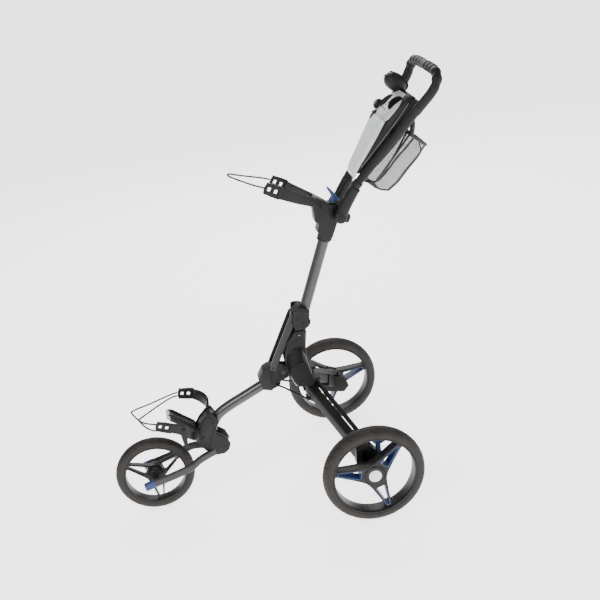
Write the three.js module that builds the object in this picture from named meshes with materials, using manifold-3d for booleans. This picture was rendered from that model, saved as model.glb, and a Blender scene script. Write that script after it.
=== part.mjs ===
// A three-wheeled folding golf push trolley, unfolded. Millimetres, +Z up, the front wheel towards -Y.
// Points are written with the rear axle at y = 0; the whole group is then moved so that its bounding box
// is centred on the origin.
import * as THREE from "three";
import { mergeVertices } from "three/addons/utils/BufferGeometryUtils.js";
import Module from "manifold-3d";

const wasm = await Module();
wasm.setup();

// Wheels
const REAR_R = 145;
const REAR_WIDTH = 46;
const REAR_X = 295;
const FRONT_R = 117.5;
const FRONT_WIDTH = 35;
const FRONT_Y = -608;
const AXLE_R = 6;
const REAR_SIDES = 36;
const FRONT_SIDES = 32;
// Frame
const FRAME_SHIFT_Y = 188.2;
const MAIN_PIVOT = [-98, 512];
const FRONT_PIVOT = [-180, 365];
const STRUT_TOP = [-125, 535];
const STRUT_BOTTOM = [-207, 388];
const MAST_R = 16;
const FRONT_TUBE_R = 15.5;
const HANDLE_R = 11.5;
const HANDLE_FOOT = new THREE.Vector3(0, 83, 876);
const HANDLE_RISE = Math.atan2(0.734, 0.679);
const LEG_HINGE = [40, -112];
const LEG_END = [240, -12];
const LEG_SWING = 12;
const BAR_HINGE = [40, -88];
const HUB_BAR_HINGE = [240, 12];
const PEDAL_HINGE = [30, 167];
const CORD_R = 2.5;
const GAP = 0.35;
const ROUND = 16;

const BLACK = { color: 0x262424, roughness: 0.6, metalness: 0 };
const GRAPHITE = { color: 0x5c5a58, roughness: 0.38, metalness: 0.8 };
const TYRE = { color: 0x3b3632, roughness: 0.85, metalness: 0 };
const BLUE = { color: 0x2f568f, roughness: 0.45, metalness: 0 };
const STEEL = { color: 0xa5a5a8, roughness: 0.35, metalness: 1 };
const SILVER = { color: 0xd0d2d4, roughness: 0.35, metalness: 0.4 };
const FROSTED = { color: 0xd9dcde, roughness: 0.5, metalness: 0 };
const CORD = { color: 0x3a3634, roughness: 0.8, metalness: 0 };

const trolley = new THREE.Group();
const vec = (x, y, z) => new THREE.Vector3(x, y, z);
const mirrored = (points) => points.map(([x, y, z]) => [-x, y, z]);

// ---- solids ----

function manifoldOf(positions, triVerts) {
  return new wasm.Manifold(new wasm.Mesh({ numProp: 3, vertProperties: positions, triVerts }));
}

// A closed geometry as a manifold solid that faces out.
function solid(geometry) {
  const bare = new THREE.BufferGeometry();
  const flat = geometry.index ? geometry.toNonIndexed() : geometry;
  bare.setAttribute("position", flat.getAttribute("position"));
  const merged = mergeVertices(bare, 1e-3);
  const triVerts = new Uint32Array(merged.index.array);
  const made = manifoldOf(merged.attributes.position.array, triVerts);
  if (made.volume() > 0) return made;
  for (let i = 0; i < triVerts.length; i += 3) {
    [triVerts[i + 1], triVerts[i + 2]] = [triVerts[i + 2], triVerts[i + 1]];
  }
  return manifoldOf(merged.attributes.position.array, triVerts);
}

const join = (first, ...rest) => rest.reduce((sum, part) => sum.add(part), first);
const cut = (first, ...rest) => rest.reduce((sum, part) => sum.subtract(part), first);

// Adds one named sub-part to the trolley.
function piece(name, shape, finish) {
  const mesh = shape.getMesh();
  const corners = new Float32Array(mesh.numVert * 3);
  for (let i = 0; i < mesh.numVert; i++) {
    for (let k = 0; k < 3; k++) corners[3 * i + k] = mesh.vertProperties[mesh.numProp * i + k];
  }
  const geometry = new THREE.BufferGeometry();
  geometry.setAttribute("position", new THREE.BufferAttribute(corners, 3));
  geometry.setIndex(new THREE.BufferAttribute(new Uint32Array(mesh.triVerts), 1));
  geometry.computeVertexNormals();
  const made = new THREE.Mesh(geometry, new THREE.MeshStandardMaterial(finish));
  made.name = name;
  trolley.add(made);
}

// A side-view outline of (y, z) points, from x0 to x1.
function plate(points, x0, x1) {
  const shape = new THREE.Shape(points.map(([y, z]) => new THREE.Vector2(y, z)));
  const geometry = new THREE.ExtrudeGeometry(shape, { depth: x1 - x0, bevelEnabled: false });
  const turn = new THREE.Matrix4().makeBasis(vec(0, 1, 0), vec(0, 0, 1), vec(1, 0, 0));
  return solid(geometry.applyMatrix4(turn.setPosition(x0, 0, 0)));
}

// A round bar from a to b.
function rod(a, b, radius, sides = ROUND) {
  const from = vec(...a);
  const to = vec(...b);
  const geometry = new THREE.CylinderGeometry(radius, radius, from.distanceTo(to), sides);
  const direction = to.clone().sub(from).normalize();
  geometry.applyQuaternion(new THREE.Quaternion().setFromUnitVectors(vec(0, 1, 0), direction));
  const middle = from.add(to).multiplyScalar(0.5);
  return solid(geometry.translate(middle.x, middle.y, middle.z));
}

const pin = (x0, x1, [y, z], radius, sides = ROUND) => rod([x0, y, z], [x1, y, z], radius, sides);
const post = (z0, z1, [x, y], radius, sides = ROUND) => rod([x, y, z0], [x, y, z1], radius, sides);

function box([x0, y0, z0], [x1, y1, z1]) {
  const geometry = new THREE.BoxGeometry(x1 - x0, y1 - y0, z1 - z0);
  return solid(geometry.translate((x0 + x1) / 2, (y0 + y1) / 2, (z0 + z1) / 2));
}

// A skin over rings that hold the same number of points, closed by a fan at each end.
function loft(rings) {
  const count = rings[0].length;
  const corners = rings.flat().flatMap((p) => [p.x, p.y, p.z]);
  const faces = [];
  for (let r = 0; r < rings.length - 1; r++) {
    for (let i = 0; i < count; i++) {
      const a = r * count + i;
      const b = r * count + ((i + 1) % count);
      faces.push(a, b, b + count, a, b + count, a + count);
    }
  }
  const last = (rings.length - 1) * count;
  for (let i = 1; i < count - 1; i++) faces.push(0, i + 1, i, last, last + i, last + i + 1);
  const geometry = new THREE.BufferGeometry();
  geometry.setAttribute("position", new THREE.BufferAttribute(new Float32Array(corners), 3));
  geometry.setIndex(faces);
  return solid(geometry);
}

// Direction of a path at each of its points.
function tangents(path) {
  return path.map((p, i) => {
    const before = path[Math.max(i - 1, 0)];
    const after = path[Math.min(i + 1, path.length - 1)];
    return after.clone().sub(before).normalize();
  });
}

// A bar with a section of (side, up) points carried along a path, its up side kept towards `up`.
function sweep(points, section, up = vec(0, 0, 1)) {
  const path = points.map((p) => vec(...p));
  const along = tangents(path);
  const rings = path.map((p, i) => {
    const side = along[i].clone().cross(up).normalize();
    const over = side.clone().cross(along[i]);
    return section.map(([s, u]) => p.clone().addScaledVector(side, s).addScaledVector(over, u));
  });
  return loft(rings);
}

const circle = (r, sides) =>
  Array.from({ length: sides }, (_, i) => {
    const turn = ((i + 0.5) * 2 * Math.PI) / sides;
    return [r * Math.cos(turn), r * Math.sin(turn)];
  });

// A rectangle w wide and h tall with its corners cut off by c.
const chamfered = (w, h, c) => [
  [w / 2, -h / 2 + c],
  [w / 2, h / 2 - c],
  [w / 2 - c, h / 2],
  [-w / 2 + c, h / 2],
  [-w / 2, h / 2 - c],
  [-w / 2, -h / 2 + c],
  [-w / 2 + c, -h / 2],
  [w / 2 - c, -h / 2],
];

// Points of a smooth curve through the given ones.
function smooth(points, steps) {
  const curve = new THREE.CatmullRomCurve3(points.map((p) => vec(...p)), false, "centripetal");
  return curve.getSpacedPoints(steps).map((p) => [p.x, p.y, p.z]);
}

// A ring turned about the X axis from a closed profile of (radius, x), a flat facet at the bottom.
function turned(profile, [x, y, z], sides) {
  const flat = Math.cos(Math.PI / sides);
  const loop = [...profile, profile[0]].map(([r, h]) => new THREE.Vector2(r / flat, h));
  const geometry = new THREE.LatheGeometry(loop, sides, Math.PI / sides);
  const basis = new THREE.Matrix4().makeBasis(vec(0, 1, 0), vec(1, 0, 0), vec(0, 0, -1));
  return solid(geometry.applyMatrix4(basis.setPosition(x, y, z)));
}

// ---- wheels ----

// A crowned tyre of outer radius R on a seat of radius `seat`.
function tyre(R, seat, width, centre, sides) {
  const w = width / 2;
  const wall = (R + seat) / 2;
  const profile = [
    [R, -0.35 * w],
    [R, 0.35 * w],
    [R - 6, 0.86 * w],
    [wall, w],
    [seat, 0.82 * w],
    [seat, -0.82 * w],
    [wall, -w],
    [R - 6, -0.86 * w],
  ];
  return turned(profile, centre, sides);
}

// A point in the wheel plane at radius r, `degrees` round from +Y towards +Z, moved sideways by `off`.
function wheelPoint([, y, z], r, degrees, off = 0) {
  const turn = THREE.MathUtils.degToRad(degrees);
  const cos = Math.cos(turn);
  const sin = Math.sin(turn);
  return [y + r * cos - off * sin, z + r * sin + off * cos];
}

// A rim with three spokes, each a loop that is wide at the hub and narrow at the rim.
function rim(seat, width, hubR, centre, angles, ribs, sides) {
  const [x, y, z] = centre;
  const ring = turned(
    [
      [seat - GAP, -0.4 * width],
      [seat - GAP, 0.4 * width],
      [seat - 6, 0.4 * width],
      [seat - 6, -0.4 * width],
    ],
    centre,
    sides,
  );
  const hub = pin(x - ribs.hubHalf, x + ribs.hubHalf, [y, z], hubR, ROUND);
  let made = join(ring, hub);
  for (const angle of angles) {
    const outline = [
      wheelPoint(centre, 0.6 * hubR, angle, -ribs.wide),
      wheelPoint(centre, seat - 3, angle, -ribs.narrow),
      wheelPoint(centre, seat - 3, angle, ribs.narrow),
      wheelPoint(centre, 0.6 * hubR, angle, ribs.wide),
    ];
    made = made.add(plate(outline, x - ribs.half, x + ribs.half));
  }
  for (const angle of angles) {
    const start = hubR + 7;
    const end = seat - 14;
    const shrink = (r) => ribs.narrow + ((ribs.wide - ribs.narrow) * (seat - r)) / seat - ribs.wall;
    const window = [
      wheelPoint(centre, start, angle, -shrink(start)),
      wheelPoint(centre, end, angle, -shrink(end)),
      wheelPoint(centre, end, angle, shrink(end)),
      wheelPoint(centre, start, angle, shrink(start)),
    ];
    made = made.subtract(plate(window, x - width, x + width));
  }
  return made.subtract(pin(x - width, x + width, [y, z], AXLE_R + GAP));
}

function rearWheel(side, suffix, angles) {
  const centre = [side * REAR_X, 0, REAR_R];
  const seat = 119;
  piece("rear_tyre_" + suffix, tyre(REAR_R, seat, REAR_WIDTH, centre, REAR_SIDES), TYRE);
  const ribs = { wide: 21, narrow: 9, wall: 5, half: 12, hubHalf: 15 };
  piece("rear_rim_" + suffix, rim(seat, REAR_WIDTH, 28, centre, angles, ribs, REAR_SIDES), BLACK);
  const cap = pin(side * (REAR_X + 15 + GAP), side * (REAR_X + 19), [0, REAR_R], 18);
  piece("hub_cap_" + suffix, cap, SILVER);
  const axle = pin(side * 232, side * (REAR_X + 15 - GAP), [0, REAR_R], AXLE_R);
  piece("rear_axle_" + suffix, axle, STEEL);
}

function frontWheel() {
  const centre = [0, FRONT_Y, FRONT_R];
  const seat = 93.5;
  piece("front_tyre", tyre(FRONT_R, seat, FRONT_WIDTH, centre, FRONT_SIDES), TYRE);
  const ribs = { wide: 18, narrow: 9, wall: 4.5, half: 9, hubHalf: 26 };
  piece("front_rim", rim(seat, FRONT_WIDTH, 17, centre, [31, 151, 271], ribs, FRONT_SIDES), BLACK);
  const lean = [FRONT_Y, FRONT_R];
  piece("front_axle", pin(-48.5, 48.5, lean, AXLE_R), STEEL);
}

// ---- front frame ----

// The two fork arms and the bridge that joins them, one bent oblong bar.
function forkRoute(side) {
  return [
    [side * 60, -628, 114],
    [side * 60, -560, 128],
    [side * 60, -505, 142],
    [side * 54, -486, 149],
    [side * 44, -468, 154],
    [side * 32, -446, 156],
    [side * 20, -420, 159],
    [side * 12, -400, 166],
  ];
}

function fork() {
  const section = chamfered(10, 18, 3);
  const near = sweep(forkRoute(1), section);
  const far = sweep(forkRoute(-1), section);
  const bridge = box([-16, -404, 157], [16, -384, 175]);
  const drops = [1, -1].map((s) => pin(s * 49, s * 66, [FRONT_Y, FRONT_R], 11));
  const bore = pin(-49.2, 49.2, [FRONT_Y, FRONT_R], AXLE_R + GAP);
  piece("fork_bar", cut(join(near, far, bridge, ...drops), bore), GRAPHITE);
  for (const [side, suffix] of [[1, "near"], [-1, "far"]]) {
    const cap = sweep([[side * 60, -641, 111], [side * 60, -628.4, 113.6]], chamfered(16, 23, 4));
    piece("fork_cap_" + suffix, cap, BLUE);
  }
}

function forkRoom() {
  const section = chamfered(10 + 2 * GAP, 18 + 2 * GAP, 3);
  const arms = [1, -1].map((side) => sweep(forkRoute(side), section));
  return join(...arms, box([-16.4, -404.4, 156.6], [16.4, -383.6, 175.4]));
}

const FRONT_TUBE_PATH = smooth(
  [[0, -234, 337], [0, -306, 307], [0, -360, 286], [0, -395, 266], [0, -418, 240]],
  12,
);

function frontTube() {
  piece("front_tube", sweep(FRONT_TUBE_PATH, circle(FRONT_TUBE_R, ROUND)), GRAPHITE);
}

function lowerBracket() {
  const side = [
    [-396, 290], [-390, 268], [-394, 248], [-409, 222], [-394, 214], [-371, 187], [-369, 170], [-380, 152],
    [-410, 142], [-440, 166], [-460, 201], [-463, 250], [-442, 276], [-418, 302], [-405, 304],
  ];
  const body = plate(side, -25, 25);
  const room = sweep(FRONT_TUBE_PATH, circle(FRONT_TUBE_R + GAP, ROUND));
  piece("lower_bracket", cut(body, room, forkRoom()), BLACK);
}

// The moulded socket that carries the front tube: a fork over the body at the front pivot.
function frontSocket() {
  const side = [
    [-255, 358], [-238, 384], [-212, 397], [-190, 392], [-164, 384], [-158, 366], [-166, 348],
    [-190, 340], [-196, 326], [-222, 318], [-246, 326],
  ];
  const front = plate(side, -22.4, 22.4);
  const cheeks = [1, -1].map((s) => box([s > 0 ? 17 : -30, -219, 300], [s > 0 ? 30 : -17, -120, 420]));
  const slot = box([-8.5, -206, 300], [8.5, -120, 420]);
  const bore = pin(-30, 30, FRONT_PIVOT, 6 + GAP);
  const room = sweep(FRONT_TUBE_PATH, circle(FRONT_TUBE_R + GAP, ROUND));
  const ears = [1, -1].map((s) => pin(s * 13, s * 22.4, STRUT_BOTTOM, 9));
  const holes = [1, -1].map((s) => pin(s * 16.6, s * 30, STRUT_BOTTOM, 12));
  piece("front_socket", cut(join(front, ...ears), ...cheeks, slot, bore, room, ...holes), BLACK);
}

// ---- centre body ----

function centreBody() {
  const outline = [
    [-128, 490], [-93, 491], [-101, 481], [-108, 417], [-91, 319], [-99, 305], [-147, 316], [-166, 354],
    [-169, 413], [-153, 464],
  ];
  for (const [side, suffix] of [[1, "near"], [-1, "far"]]) {
    const skin = plate(outline, side > 0 ? 23 : -28, side > 0 ? 28 : -23);
    const legRoom = box([-30, -127, 270], [30, -70, 346.4]);
    piece("body_plate_" + suffix, skin.subtract(legRoom), BLACK);
  }
  const wide = [
    [-116, 462], [-112, 418], [-93, 322], [-101, 308], [-143, 318], [-148, 336], [-139, 350], [-135, 365],
    [-139, 384], [-145, 397], [-132, 430], [-124, 458],
  ];
  const lugTop = [[-113, 440], [-103, 464], [-84, 512], [-112, 512], [-128, 470], [-130, 440]];
  const lugFront = [[-130, 350], [-180, 351], [-180, 379], [-130, 380]];
  const core = join(
    plate(wide, -22.5, 22.5),
    plate(lugTop, -8, 8),
    plate(lugFront, -8, 8),
    pin(-8, 8, MAIN_PIVOT, 14),
    pin(-8, 8, FRONT_PIVOT, 14),
  );
  const bores = [MAIN_PIVOT, FRONT_PIVOT].map((p) => pin(-9, 9, p, 6 + GAP));
  const lugs = [1, -1].map((s) => hingeLugs(s));
  const stripRoom = plate([[-88, 482], [-99.5, 482], [-110.5, 419], [-88, 415]], -12.4, 12.4);
  piece("body_core", cut(join(core, ...lugs), ...bores, stripRoom), BLACK);
  piece("main_pivot_pin", pin(-16.6, 16.6, MAIN_PIVOT, 6), STEEL);
  piece("front_pivot_pin", pin(-16.6, 16.6, FRONT_PIVOT, 6), STEEL);
  const strip = [[-92, 480], [-99, 480], [-110, 419.5], [-104, 416]];
  piece("rear_cover_strip", plate(strip, -12, 12), GRAPHITE);
}

// Two shelves, over and under the leg roots, that hold the upright hinge pins of one side.
function hingeLugs(side) {
  const span = (from, to) => [Math.min(side * from, side * to), Math.max(side * from, side * to)];
  const [x0, x1] = span(18, 56);
  const [foot0, foot1] = span(14, 48);
  const [stem0, stem1] = span(14, 22.5);
  return join(
    box([x0, -126, 338], [x1, -78, 346]),
    box([foot0, -126, 274], [foot1, -78, 280]),
    box([stem0, -112, 274], [stem1, -96, 346]),
  );
}

// ---- rear legs ----

function legFrame(side) {
  const from = [side * LEG_HINGE[0], LEG_HINGE[1], 312];
  const to = [side * LEG_END[0], LEG_END[1], 176];
  return { from, to };
}

function rearLeg(side, suffix) {
  const { from, to } = legFrame(side);
  const bar = sweep([from, to], chamfered(22, 30, 5));
  const root = post(290, 334, [from[0], from[1]], 14);
  const end = post(158, 194, [to[0], to[1]], 14);
  const tube = cut(join(bar, root, end), box([-400, -200, 337.5], [400, 100, 420]));
  piece("leg_tube_" + suffix, tube, BLACK);
  const barFrom = [side * BAR_HINGE[0], BAR_HINGE[1], 326];
  const barTo = [side * HUB_BAR_HINGE[0], HUB_BAR_HINGE[1], 190];
  const thin = join(
    sweep([barFrom, barTo], chamfered(8, 14, 2)),
    post(318, 334, [barFrom[0], barFrom[1]], 6.5),
    post(184, 198, [barTo[0], barTo[1]], 6.5),
  );
  piece("leg_bar_" + suffix, thin, GRAPHITE);
}

// The room a part needs as it swings about an upright hinge at (x, y) on one side of the trolley.
function swingRoom(shape, [x, y], side) {
  const turned = (degrees) => shape.translate([-x, -y, 0]).rotate([0, 0, side * degrees]).translate([x, y, 0]);
  return join(shape, turned(LEG_SWING / 2), turned(LEG_SWING + 1));
}

// The block at the end of a leg, which carries the wheel axle.
function hubBlock(side, suffix) {
  const outline = [[-38, 158], [-22, 138], [24, 128], [42, 146], [36, 168], [8, 206], [-14, 216], [-34, 204]];
  const [x0, x1] = side > 0 ? [222, 255] : [-255, -222];
  const { from, to } = legFrame(side);
  const legRoom = join(
    swingRoom(sweep([from, to], chamfered(30, 36, 4)), to, side),
    post(154, 200, [to[0], to[1]], 16),
  );
  const barTo = [side * HUB_BAR_HINGE[0], HUB_BAR_HINGE[1], 190];
  const barFrom = [side * BAR_HINGE[0], BAR_HINGE[1], 326];
  const barRoom = join(
    swingRoom(sweep([barFrom, barTo], chamfered(16, 22, 2)), barTo, side),
    post(180, 230, [barTo[0], barTo[1]], 9),
  );
  const shaft = pin(side * 230, side * 256, [0, REAR_R], AXLE_R + GAP);
  const catchRoom = box(
    [side > 0 ? 234 : -256, 24.5, 135.5],
    [side > 0 ? 256 : -234, 34.5, 150.5],
  );
  let block = cut(plate(outline, x0, x1), legRoom, barRoom, shaft, catchRoom);
  if (side > 0) {
    const swing = plate([[20.5, 168], [44, 160], [70, 215], [22, 215]], 239.6, 250.4);
    block = cut(block, pin(239.6, 250.4, PEDAL_HINGE, 9), swing);
  }
  piece("hub_block_" + suffix, largest(block), BLACK);
  const button = box(
    [side > 0 ? 241 : -262, 25, 136],
    [side > 0 ? 262 : -241, 34, 150],
  );
  piece("wheel_catch_" + suffix, button, BLUE);
}

// The biggest of the bodies a cut has left.
function largest(shape) {
  return shape.decompose().sort((a, b) => b.volume() - a.volume())[0];
}

// A foot plate on a stem that rocks on the near hub block.
function brakePedal() {
  const stem = plate([[24, 168], [36, 170], [34, 218], [26, 218]], 240, 250);
  const head = plate([[12, 226], [16, 216], [54, 216], [57, 228], [40, 236], [14, 238]], 228, 262);
  const barrel = pin(240, 250, PEDAL_HINGE, 8);
  piece("brake_pedal", join(stem, head, barrel), BLUE);
}

// ---- mast ----

const MAST_PATH = [[0, -102, 510.5], [0, 16, 782]];

function mastCollar() {
  const block = plate(
    [[-128, 548], [-105, 563], [-75, 544], [-78, 530], [-84, 506], [-112, 506], [-132, 528]],
    -22.4,
    22.4,
  );
  const boss = pin(-17, 17, MAIN_PIVOT, 22);
  const ears = [1, -1].map((s) => box([s > 0 ? 17.1 : -30, -150, 480], [s > 0 ? 30 : -17.1, -113.5, 560]));
  const slot = join(
    pin(-8.5, 8.5, MAIN_PIVOT, 15),
    plate([[-60, 440], [-150, 440], [-150, 532], [-106, 532], [-84, 512], [-60, 512]], -8.5, 8.5),
  );
  const room = sweep([[0, -88, 543], MAST_PATH[1]], circle(MAST_R + GAP, ROUND));
  const bore = pin(-30, 30, MAIN_PIVOT, 6 + GAP);
  piece("mast_collar", cut(join(block, boss), ...ears, slot, room, bore), BLACK);
}

function struts() {
  for (const [side, suffix] of [[1, "near"], [-1, "far"]]) {
    const [x0, x1] = side > 0 ? [17.5, 22.4] : [-22.4, -17.5];
    const across = 9;
    const bar = plate(barOutline(STRUT_TOP, STRUT_BOTTOM, across), x0, x1);
    const ends = [STRUT_TOP, STRUT_BOTTOM].map((p) => pin(x0, x1, p, across));
    piece("fold_strut_" + suffix, join(bar, ...ends), GRAPHITE);
  }
}

// The four corners of a straight bar between two (y, z) points.
function barOutline([y0, z0], [y1, z1], half) {
  const length = Math.hypot(y1 - y0, z1 - z0);
  const ny = (half * (z1 - z0)) / length;
  const nz = (-half * (y1 - y0)) / length;
  return [[y0 + ny, z0 + nz], [y1 + ny, z1 + nz], [y1 - ny, z1 - nz], [y0 - ny, z0 - nz]];
}

function mastTube() {
  piece("mast_tube", sweep([[0, -87.6, 543.5], MAST_PATH[1]], circle(MAST_R, ROUND)), GRAPHITE);
}

const HANDLE_PIVOT = [48, 812];

// The moulded housing on top of the mast, with a fork for the handle sockets.
function cradleHousing() {
  const side = [
    [-19, 774], [-8, 748], [14, 740], [24, 756], [40, 790], [60, 822], [48, 842], [4, 851], [-7, 873],
    [-20, 868], [-22, 838], [-12, 790],
  ];
  const body = join(plate(side, -22, 22), pin(-22, 22, HANDLE_PIVOT, 16));
  const room = sweep([[0, -87.6, 543.5], MAST_PATH[1]], circle(MAST_R + GAP, ROUND));
  const bore = pin(-23, 23, HANDLE_PIVOT, 6 + GAP);
  const knobBore = rod([0, 40, 806], [0, 90, 784], 6 + GAP);
  piece("cradle_housing", cut(body, room, bore, knobBore), BLACK);
}

function clamp() {
  const shaft = rod([0, 44, 804], [0, 66, 794.5], 6);
  const head = rod([0, 65, 795], [0, 80, 788.6], 13, 12);
  piece("mast_knob", join(shaft, head), BLACK);
  const foot = plate([[26, 848.6], [52, 845.4], [58, 856], [48, 866], [34, 858]], -10, 10);
  const blade = plate([[40, 858], [50, 862], [46, 872], [30, 891], [26, 888], [36, 870]], -9, 9);
  piece("clamp_lever", join(foot, blade), BLUE);
}

// ---- bag cradle arms ----

const ARM_SECTION = [[-4, -15], [-4, 15], [4, 15], [4, -15]];

function upperArm(side, suffix, tip) {
  const root = [[side * 22.4, -4, 860], [side * 34, -18, 868], [side * 50, -44, 883], [side * 66, -68, 898]];
  const path = smooth([...root, [side * 80, -88, 911], [side * 85, ...tip]], 9);
  const band = sweep(path, ARM_SECTION);
  const cheek = [[-22, 838], [-20, 868], [-2, 868], [2, 851]];
  const plates = plate(cheek, side > 0 ? 22.4 : -36, side > 0 ? 36 : -22.4);
  const [ty, tz] = tip;
  const windows = [14, 34].map((d) => armWindow(side, 85, [ty + 0.9 * d, tz - 0.46 * d], 6));
  const cradle = box([-22.4, -60, 800], [22.4, 20, 900]);
  piece("upper_arm_" + suffix, cut(join(band, plates), ...windows, cradle), BLACK);
}

// A square opening through an arm head, seen from the side.
function armWindow(side, x, [y, z], half) {
  const [x0, x1] = side > 0 ? [x - 14, x + 14] : [-x - 14, -x + 14];
  return box([x0, y - half, z - half], [x1, y + half, z + half]);
}

const NEAR_ROOT = [[25.4, -452, 226], [45, -468, 240], [62, -480, 258], [78, -492, 278], [88, -508, 294]];
const FAR_ROOT = [[25.4, -428, 252], [42, -417, 268], [62, -420, 284], [80, -438, 298], [89, -464, 308]];

function lowerArm(side, suffix, root, tip, hook) {
  const path = smooth([...root.map(([x, y, z]) => [side * x, y, z]), [side * 90, ...tip]], 9);
  const band = sweep(path, ARM_SECTION.map(([s, u]) => [s, 0.85 * u]));
  const [, y, z] = root[0];
  const foot = box(
    [side > 0 ? 25.4 : -36, y - 9, z - 15],
    [side > 0 ? 36 : -25.4, y + 22, z + 13],
  );
  const [ty, tz] = tip;
  const windows = [14, 34].map((d) => armWindow(side, 90, [ty + 0.98 * d, tz - 0.18 * d], 5.5));
  let arm = cut(join(band, foot), ...windows, box([-25.4, -500, 190], [25.4, -400, 300]));
  if (hook) {
    const prong = [[-506, 292], [-503, 250], [-500, 229], [-494, 230], [-490, 262], [-490, 290]];
    arm = arm.add(plate(prong, side * 88 - 4, side * 88 + 3));
  }
  piece("lower_arm_" + suffix, arm, BLACK);
}

function bagRest() {
  const tongue = [
    [-472, 254.9], [-463.4, 240], [-463.4, 231], [-531, 287], [-538, 298], [-536, 307], [-521, 300],
  ];
  piece("bag_rest", plate(tongue, -20, 20), BLACK);
}

// ---- handle ----

// A point beside the handle: x, distance along the tubes and distance out from them on the bag side.
function alongHandle(x, s, n) {
  const cos = Math.cos(HANDLE_RISE);
  const sin = Math.sin(HANDLE_RISE);
  return [x, HANDLE_FOOT.y + s * cos - n * sin, HANDLE_FOOT.z + s * sin + n * cos];
}

function handleRoute(side) {
  return [[side * 40, 76, 868], [side * 60, 143, 940], [side * 82, 205, 1006], [side * 103, 266, 1071]];
}

const GRIP_STATIONS = [[108, 276, 1083], [122, 312, 1122], [126, 327, 1145], [118, 334, 1163], [95, 337, 1172]];

function gripRoute() {
  const near = GRIP_STATIONS;
  return smooth([...near, [50, 338, 1174], [0, 338, 1174], [-50, 338, 1174], ...mirrored(near).reverse()], 30);
}

function handleTubes() {
  for (const [side, suffix] of [[1, "near"], [-1, "far"]]) {
    const route = smooth([...handleRoute(side), [side * 107.2, 274.2, 1081]], 10);
    piece("handle_tube_" + suffix, sweep(route, circle(HANDLE_R, 14)), GRAPHITE);
  }
  const grip = sweep(gripRoute(), circle(14, 12), vec(0, -0.734, 0.679));
  piece("handle_grip", grip, BLACK);
}

// The clevis that turns on the cradle housing and holds one handle tube.
function handleSocket(side, suffix) {
  const outline = [[70, 884], [90, 870], [76, 832], [63, 806], [48, 794], [33, 806], [33, 818], [48, 840]];
  const [x0, x1] = side > 0 ? [24, 54] : [-54, -24];
  const stub = pin(side * 16, side * 26, HANDLE_PIVOT, 6);
  const route = smooth([...handleRoute(side), [side * 107.2, 274.2, 1081]], 10);
  const room = sweep(route, circle(HANDLE_R + GAP, 14));
  const inner = box([-18, 44, 828], [18, 100, 900]);
  piece("handle_socket_" + suffix, largest(cut(join(plate(outline, x0, x1), stub), room, inner)), BLACK);
}

// A rounded-rectangle ring across the handle direction.
function handleRing(s, half, low, high, tilt = 0) {
  const c = Math.min(half, (high - low) / 2) * 0.45;
  const middle = (high + low) / 2;
  const section = chamfered(2 * half, high - low, c);
  return section.map(([x, n]) => vec(...alongHandle(x, s + tilt * n, n + middle)));
}

function consoleRings() {
  return [
    handleRing(52, 38, -6, 14),
    handleRing(70, 42, -20, 22),
    handleRing(110, 47, -24, 26),
    handleRing(160, 54, -26, 35),
    handleRing(215, 62, -27, 43),
    handleRing(262, 68, -24, 38),
    handleRing(300, 64, -12, 24, -0.2),
  ];
}

const BALL_WELLS = [38, -12];
const WELL_R = 15;

function consoleBody() {
  const body = loft(consoleRings());
  const lugs = [1, -1].map((s) => box([s > 0 ? 40 : -84, 196, 986], [s > 0 ? 84 : -40, 216, 1004]));
  const rooms = [1, -1].map((side) => {
    const route = smooth([...handleRoute(side), [side * 107.2, 274.2, 1081]], 10);
    return sweep(route, circle(HANDLE_R + GAP, 14));
  });
  const wells = BALL_WELLS.map((x) => rod(alongHandle(x, 262, 8), alongHandle(x, 286, 70), WELL_R, 20));
  const knobBore = rod(alongHandle(-48, 236, 20), alongHandle(-48, 236, 60), 5 + GAP, 12);
  const stemBore = rod(alongHandle(-46, 262, 24), alongHandle(-46, 330, 24), 7 + GAP, 12);
  piece("console_body", largest(cut(join(body, ...lugs), ...rooms, ...wells, knobBore, stemBore)), BLACK);
  const knob = join(
    rod(alongHandle(-48, 236, 24), alongHandle(-48, 236, 46), 5, 12),
    rod(alongHandle(-48, 236, 45), alongHandle(-48, 236, 57), 15, 16),
  );
  piece("console_knob", knob, BLACK);
  const stem = rod(alongHandle(-46, 266, 24), alongHandle(-46, 322, 24), 7, 12);
  const head = join(
    rod(alongHandle(-46, 316, -2), alongHandle(-46, 322, 50), 12, 12),
    rod(alongHandle(-46, 318, 48), alongHandle(-46, 322, 62), 17, 12),
  );
  piece("umbrella_holder", join(stem, head), BLACK);
}

// The frosted lid over the score card well, a shallow crowned shell.
function scoreLid() {
  const rings = [
    handleRing(44, 34, 15, 24),
    handleRing(66, 40, 22.6, 31),
    handleRing(110, 46, 26.8, 36),
    handleRing(160, 53, 35.8, 45),
    handleRing(206, 58, 42.4, 50),
  ];
  piece("score_lid", loft(rings), FROSTED);
}

// The net bag under the console: an open-mouthed sack.
function netBag() {
  const stations = [
    [50, 40, -30, -72], [62, 52, -36, -88], [100, 57, -36, -98], [150, 58, -37, -100], [200, 58, -38, -106],
    [232, 58, -39, -106],
  ];
  const ring = ([s, half, high, low], inset) => handleRing(s, half - inset, low + inset, high - inset);
  const outer = loft(stations.map((station) => ring(station, 0)));
  const inner = loft([
    ...stations.slice(1).map(([s, ...rest]) => ring([s + 3, ...rest], 3)),
    ring([256, 58, -39, -106], 3),
  ]);
  piece("net_bag", cut(outer, inner), CORD);
}

// ---- elastic cords ----

function cord(name, points, steps) {
  const curve = new THREE.CatmullRomCurve3(points.map((p) => vec(...p)), false, "centripetal");
  const shape = new THREE.Shape(circle(CORD_R, 8).map(([x, y]) => new THREE.Vector2(x, y)));
  const geometry = new THREE.ExtrudeGeometry(shape, { steps, extrudePath: curve, bevelEnabled: false });
  piece(name, solid(geometry), CORD);
}

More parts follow.
